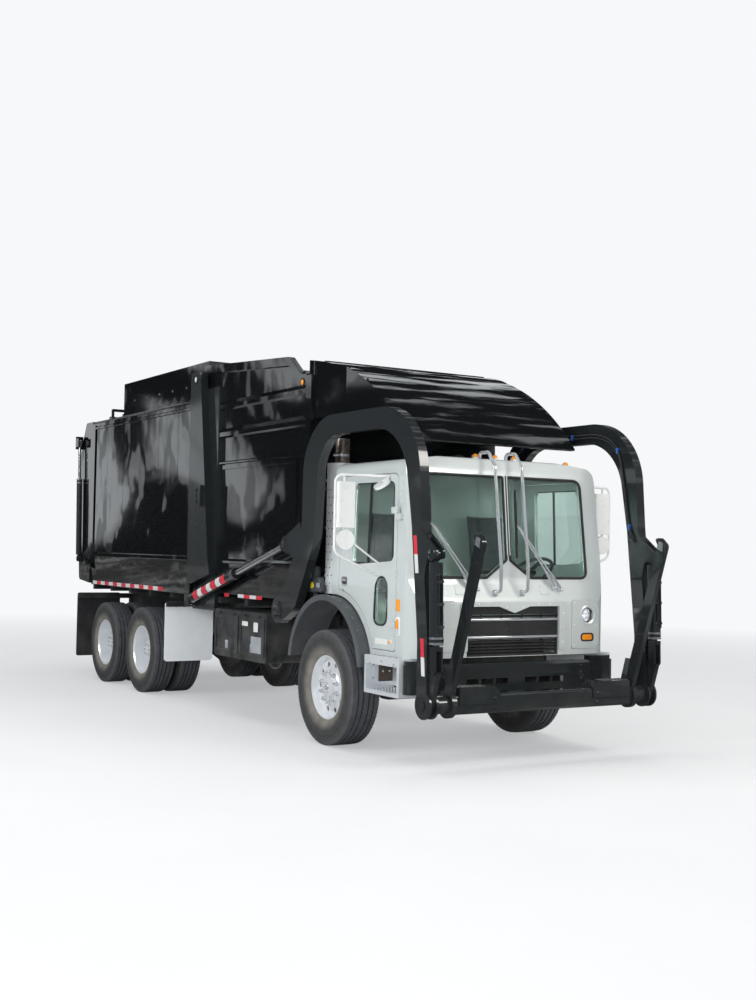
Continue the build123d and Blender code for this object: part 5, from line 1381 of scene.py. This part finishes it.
def ram_details():
    """Gland rings on all the rams, pipes on the fork and lift rams, tape on the lift rams."""
    # Each row: the barrel's base and the rod's eye as (y, z), x, radius, length, and the pipes' side
    table = (("fork", (-1.80, 1.80), (-1.83, 0.86), 1.195, 0.058, 0.735, -1),
             ("lift", (3.25, 1.22), (0.84, 1.868), 1.195, 0.060, 1.26, -1),
             ("gate", (7.12, 1.62), (7.20, 3.25), 1.248, 0.038, 1.12, 1))
    taped = []
    for kind, base, tip, x, r, length, turn in table:
        body = f"{kind}_cylinders"
        way = Vector((0.0, tip[0] - base[0], tip[1] - base[1])).normalized()
        side_way = Vector((0.0, -way.z, way.y)) * turn
        for side, out in both:
            start = Vector((out * x, *base))
            bm = bmesh.new()
            for back in (0.055, 0.012):
                spin(bm, [(-0.008, r * 0.7), (-0.008, r + 0.0015), (0.008, r + 0.0015),
                          (0.008, r * 0.7)], start + way * (length - back), way, 36, closed=True)
            keep(f"{kind}_ram_rings_{side}", bm, worn_steel, body)
            if kind != "gate":
                bm = bmesh.new()
                ram_pipes(bm, start, way, side_way, r, length, out)
                keep(f"{kind}_ram_pipes_{side}", bm, arm_black, body, 60)
            if kind == "lift":
                taped.append((start, way, side_way, r, side, out))
    for each in taped:
        ram_tape(*each)


def beam_details():
    """Tread bars on the fork beam's pads, bolts and worn tine tips."""
    bars, bolts, worn = bmesh.new(), bmesh.new(), bmesh.new()
    half = 0.006
    for out in (1, -1):
        for x in [out * (0.660 + k * 0.044) for k in range(7)]:
            for y0, y1 in ((-1.765, -1.705), (-1.695, -1.640)):
                hits = [touch("forks", (x + dx, y, 1.2), down)[2] for dx in (-half, half)
                        for y in (y0, y1)]
                if max(hits) - min(hits) < 0.05 and hits[0] < 0.9:
                    sticker(bars, "forks", [(x - half, y0, 1.2), (x + half, y0, 1.2),
                                            (x + half, y1, 1.2), (x - half, y1, 1.2)], down,
                            0.003)
        hex_heads(bolts, [front_hit("forks", out * 0.56, z) for z in (0.52, 0.60)], forward, 0.012,
                  0.012)
        for x, way in ((out * 0.967, out), (out * 1.013, -out)):
            sticker(worn, "forks", [(x - way * 0.05, y, z) for y, z in
                                    ((-2.150, 1.86), (-2.085, 1.89), (-2.105, 1.955),
                                     (-2.160, 1.940))], (way, 0, 0), 0.001)
    keep("beam_treads", bars, worn_steel, "fork_frame")
    keep("beam_bolts", bolts, arm_black, "fork_frame")
    keep("tine_wear", worn, worn_steel, "fork_frame")


# Seats


def cushion(bm, place, size, crown):
    """A stuffed form: crowned top, sides that pull in, channels sewn across it."""
    wide, deep, thick = size
    steps, pull, seam_depth, seam_width = 26, 0.025, 0.016, 0.07
    shares = row(-1, 1, steps + 1)
    tops, bottoms = [], []
    for u in shares:
        top_row, bottom_row = [], []
        for v in shares:
            edge = max(0.0, (1 - abs(u) ** 5) * (1 - abs(v) ** 5)) ** 0.33
            x = u * wide / 2 * (1 - pull * (1 - v * v))
            y = v * deep / 2 * (1 - pull * (1 - u * u))
            high = thick / 2 * edge + crown * (1 - u * u) * (1 - v * v)
            for gap in (u + 0.58, u - 0.58, v + 0.3, v - 0.35):
                high -= seam_depth * edge * exp(-(gap / seam_width) ** 2)
            top_row.append(bm.verts.new(place(x, y, high)))
            bottom_row.append(bm.verts.new(place(x, y, -thick / 2 * edge)))
        tops.append(top_row)
        bottoms.append(bottom_row)
    for i in range(steps):
        for j in range(steps):
            bm.faces.new((tops[i][j], tops[i + 1][j], tops[i + 1][j + 1], tops[i][j + 1]))
            bm.faces.new((bottoms[i][j], bottoms[i][j + 1], bottoms[i + 1][j + 1],
                          bottoms[i + 1][j]))
    bmesh.ops.remove_doubles(bm, verts=bm.verts, dist=0.0004)


def seats():
    """Two stuffed seats with sewn channels and piping, on sprung bases."""
    lean = 0.15
    for side, out in both:
        middle_x = out * 0.56

        def flat(x, y, z):
            return at(middle_x + x, -0.31 + y, 1.545 + z)

        def upright(x, y, z):
            return at(middle_x + x, -0.105 + y * lean - z * 0.99, 1.90 + y - z * lean)

        for name, place, size, crown in (("seat_cushion", flat, (0.49, 0.42, 0.110), 0.018),
                                         ("seat_back", upright, (0.47, 0.56, 0.085), 0.012)):
            bm = bmesh.new()
            cushion(bm, place, size, crown)
            made = keep(f"{name}_{side}", bm, seat_cloth, "truck", 80)
            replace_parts(made, "seats")
            bm = bmesh.new()
            line = panel(-0.225, 0.225, -size[1] * 0.46, size[1] * 0.46, 0.05, 5)
            add_sweep(bm, [place(p.x, p.y, size[2] * 0.36) for p in line], 0.004, 6, True)
            keep(f"{name}_piping_{side}", bm, rubber, "truck", 60)
        bm = bmesh.new()
        folds = [(1.235, 0.0), (1.235, 0.155), (1.25, 0.165)]
        for k in range(5):
            folds += [(1.262 + k * 0.036, 0.150), (1.280 + k * 0.036, 0.168)]
        folds += [(1.455, 0.150), (1.470, 0.150), (1.488, 0.20), (1.496, 0.20), (1.496, 0.0)]
        spin(bm, folds, (middle_x, -0.29, 0.0), along_z, 28)
        add_bar(bm, (middle_x, -0.12, 1.52), (middle_x, -0.06, 1.80), 0.16, 0.012, along_x)
        made = keep(f"seat_base_{side}", bm, dash_plastic, "truck", 40)
        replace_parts(made, "seats")


bpy.context.scene.view_settings.view_transform = "Standard"
for build in (camera, lights, floor, tyres, wheel_nuts, screen_trim, wipers, rail_feet,
              grille_trim, front_lamps, roof_lamps, side_lamps, reflective_tape, body_welds,
              body_details, canopy_corners, tank_details, arm_details, ram_details, beam_details,
              bumper_details, door_details, mirror_details, stack_details, air_unit,
              fender_details, step_details, rear_details, seats):
    build()
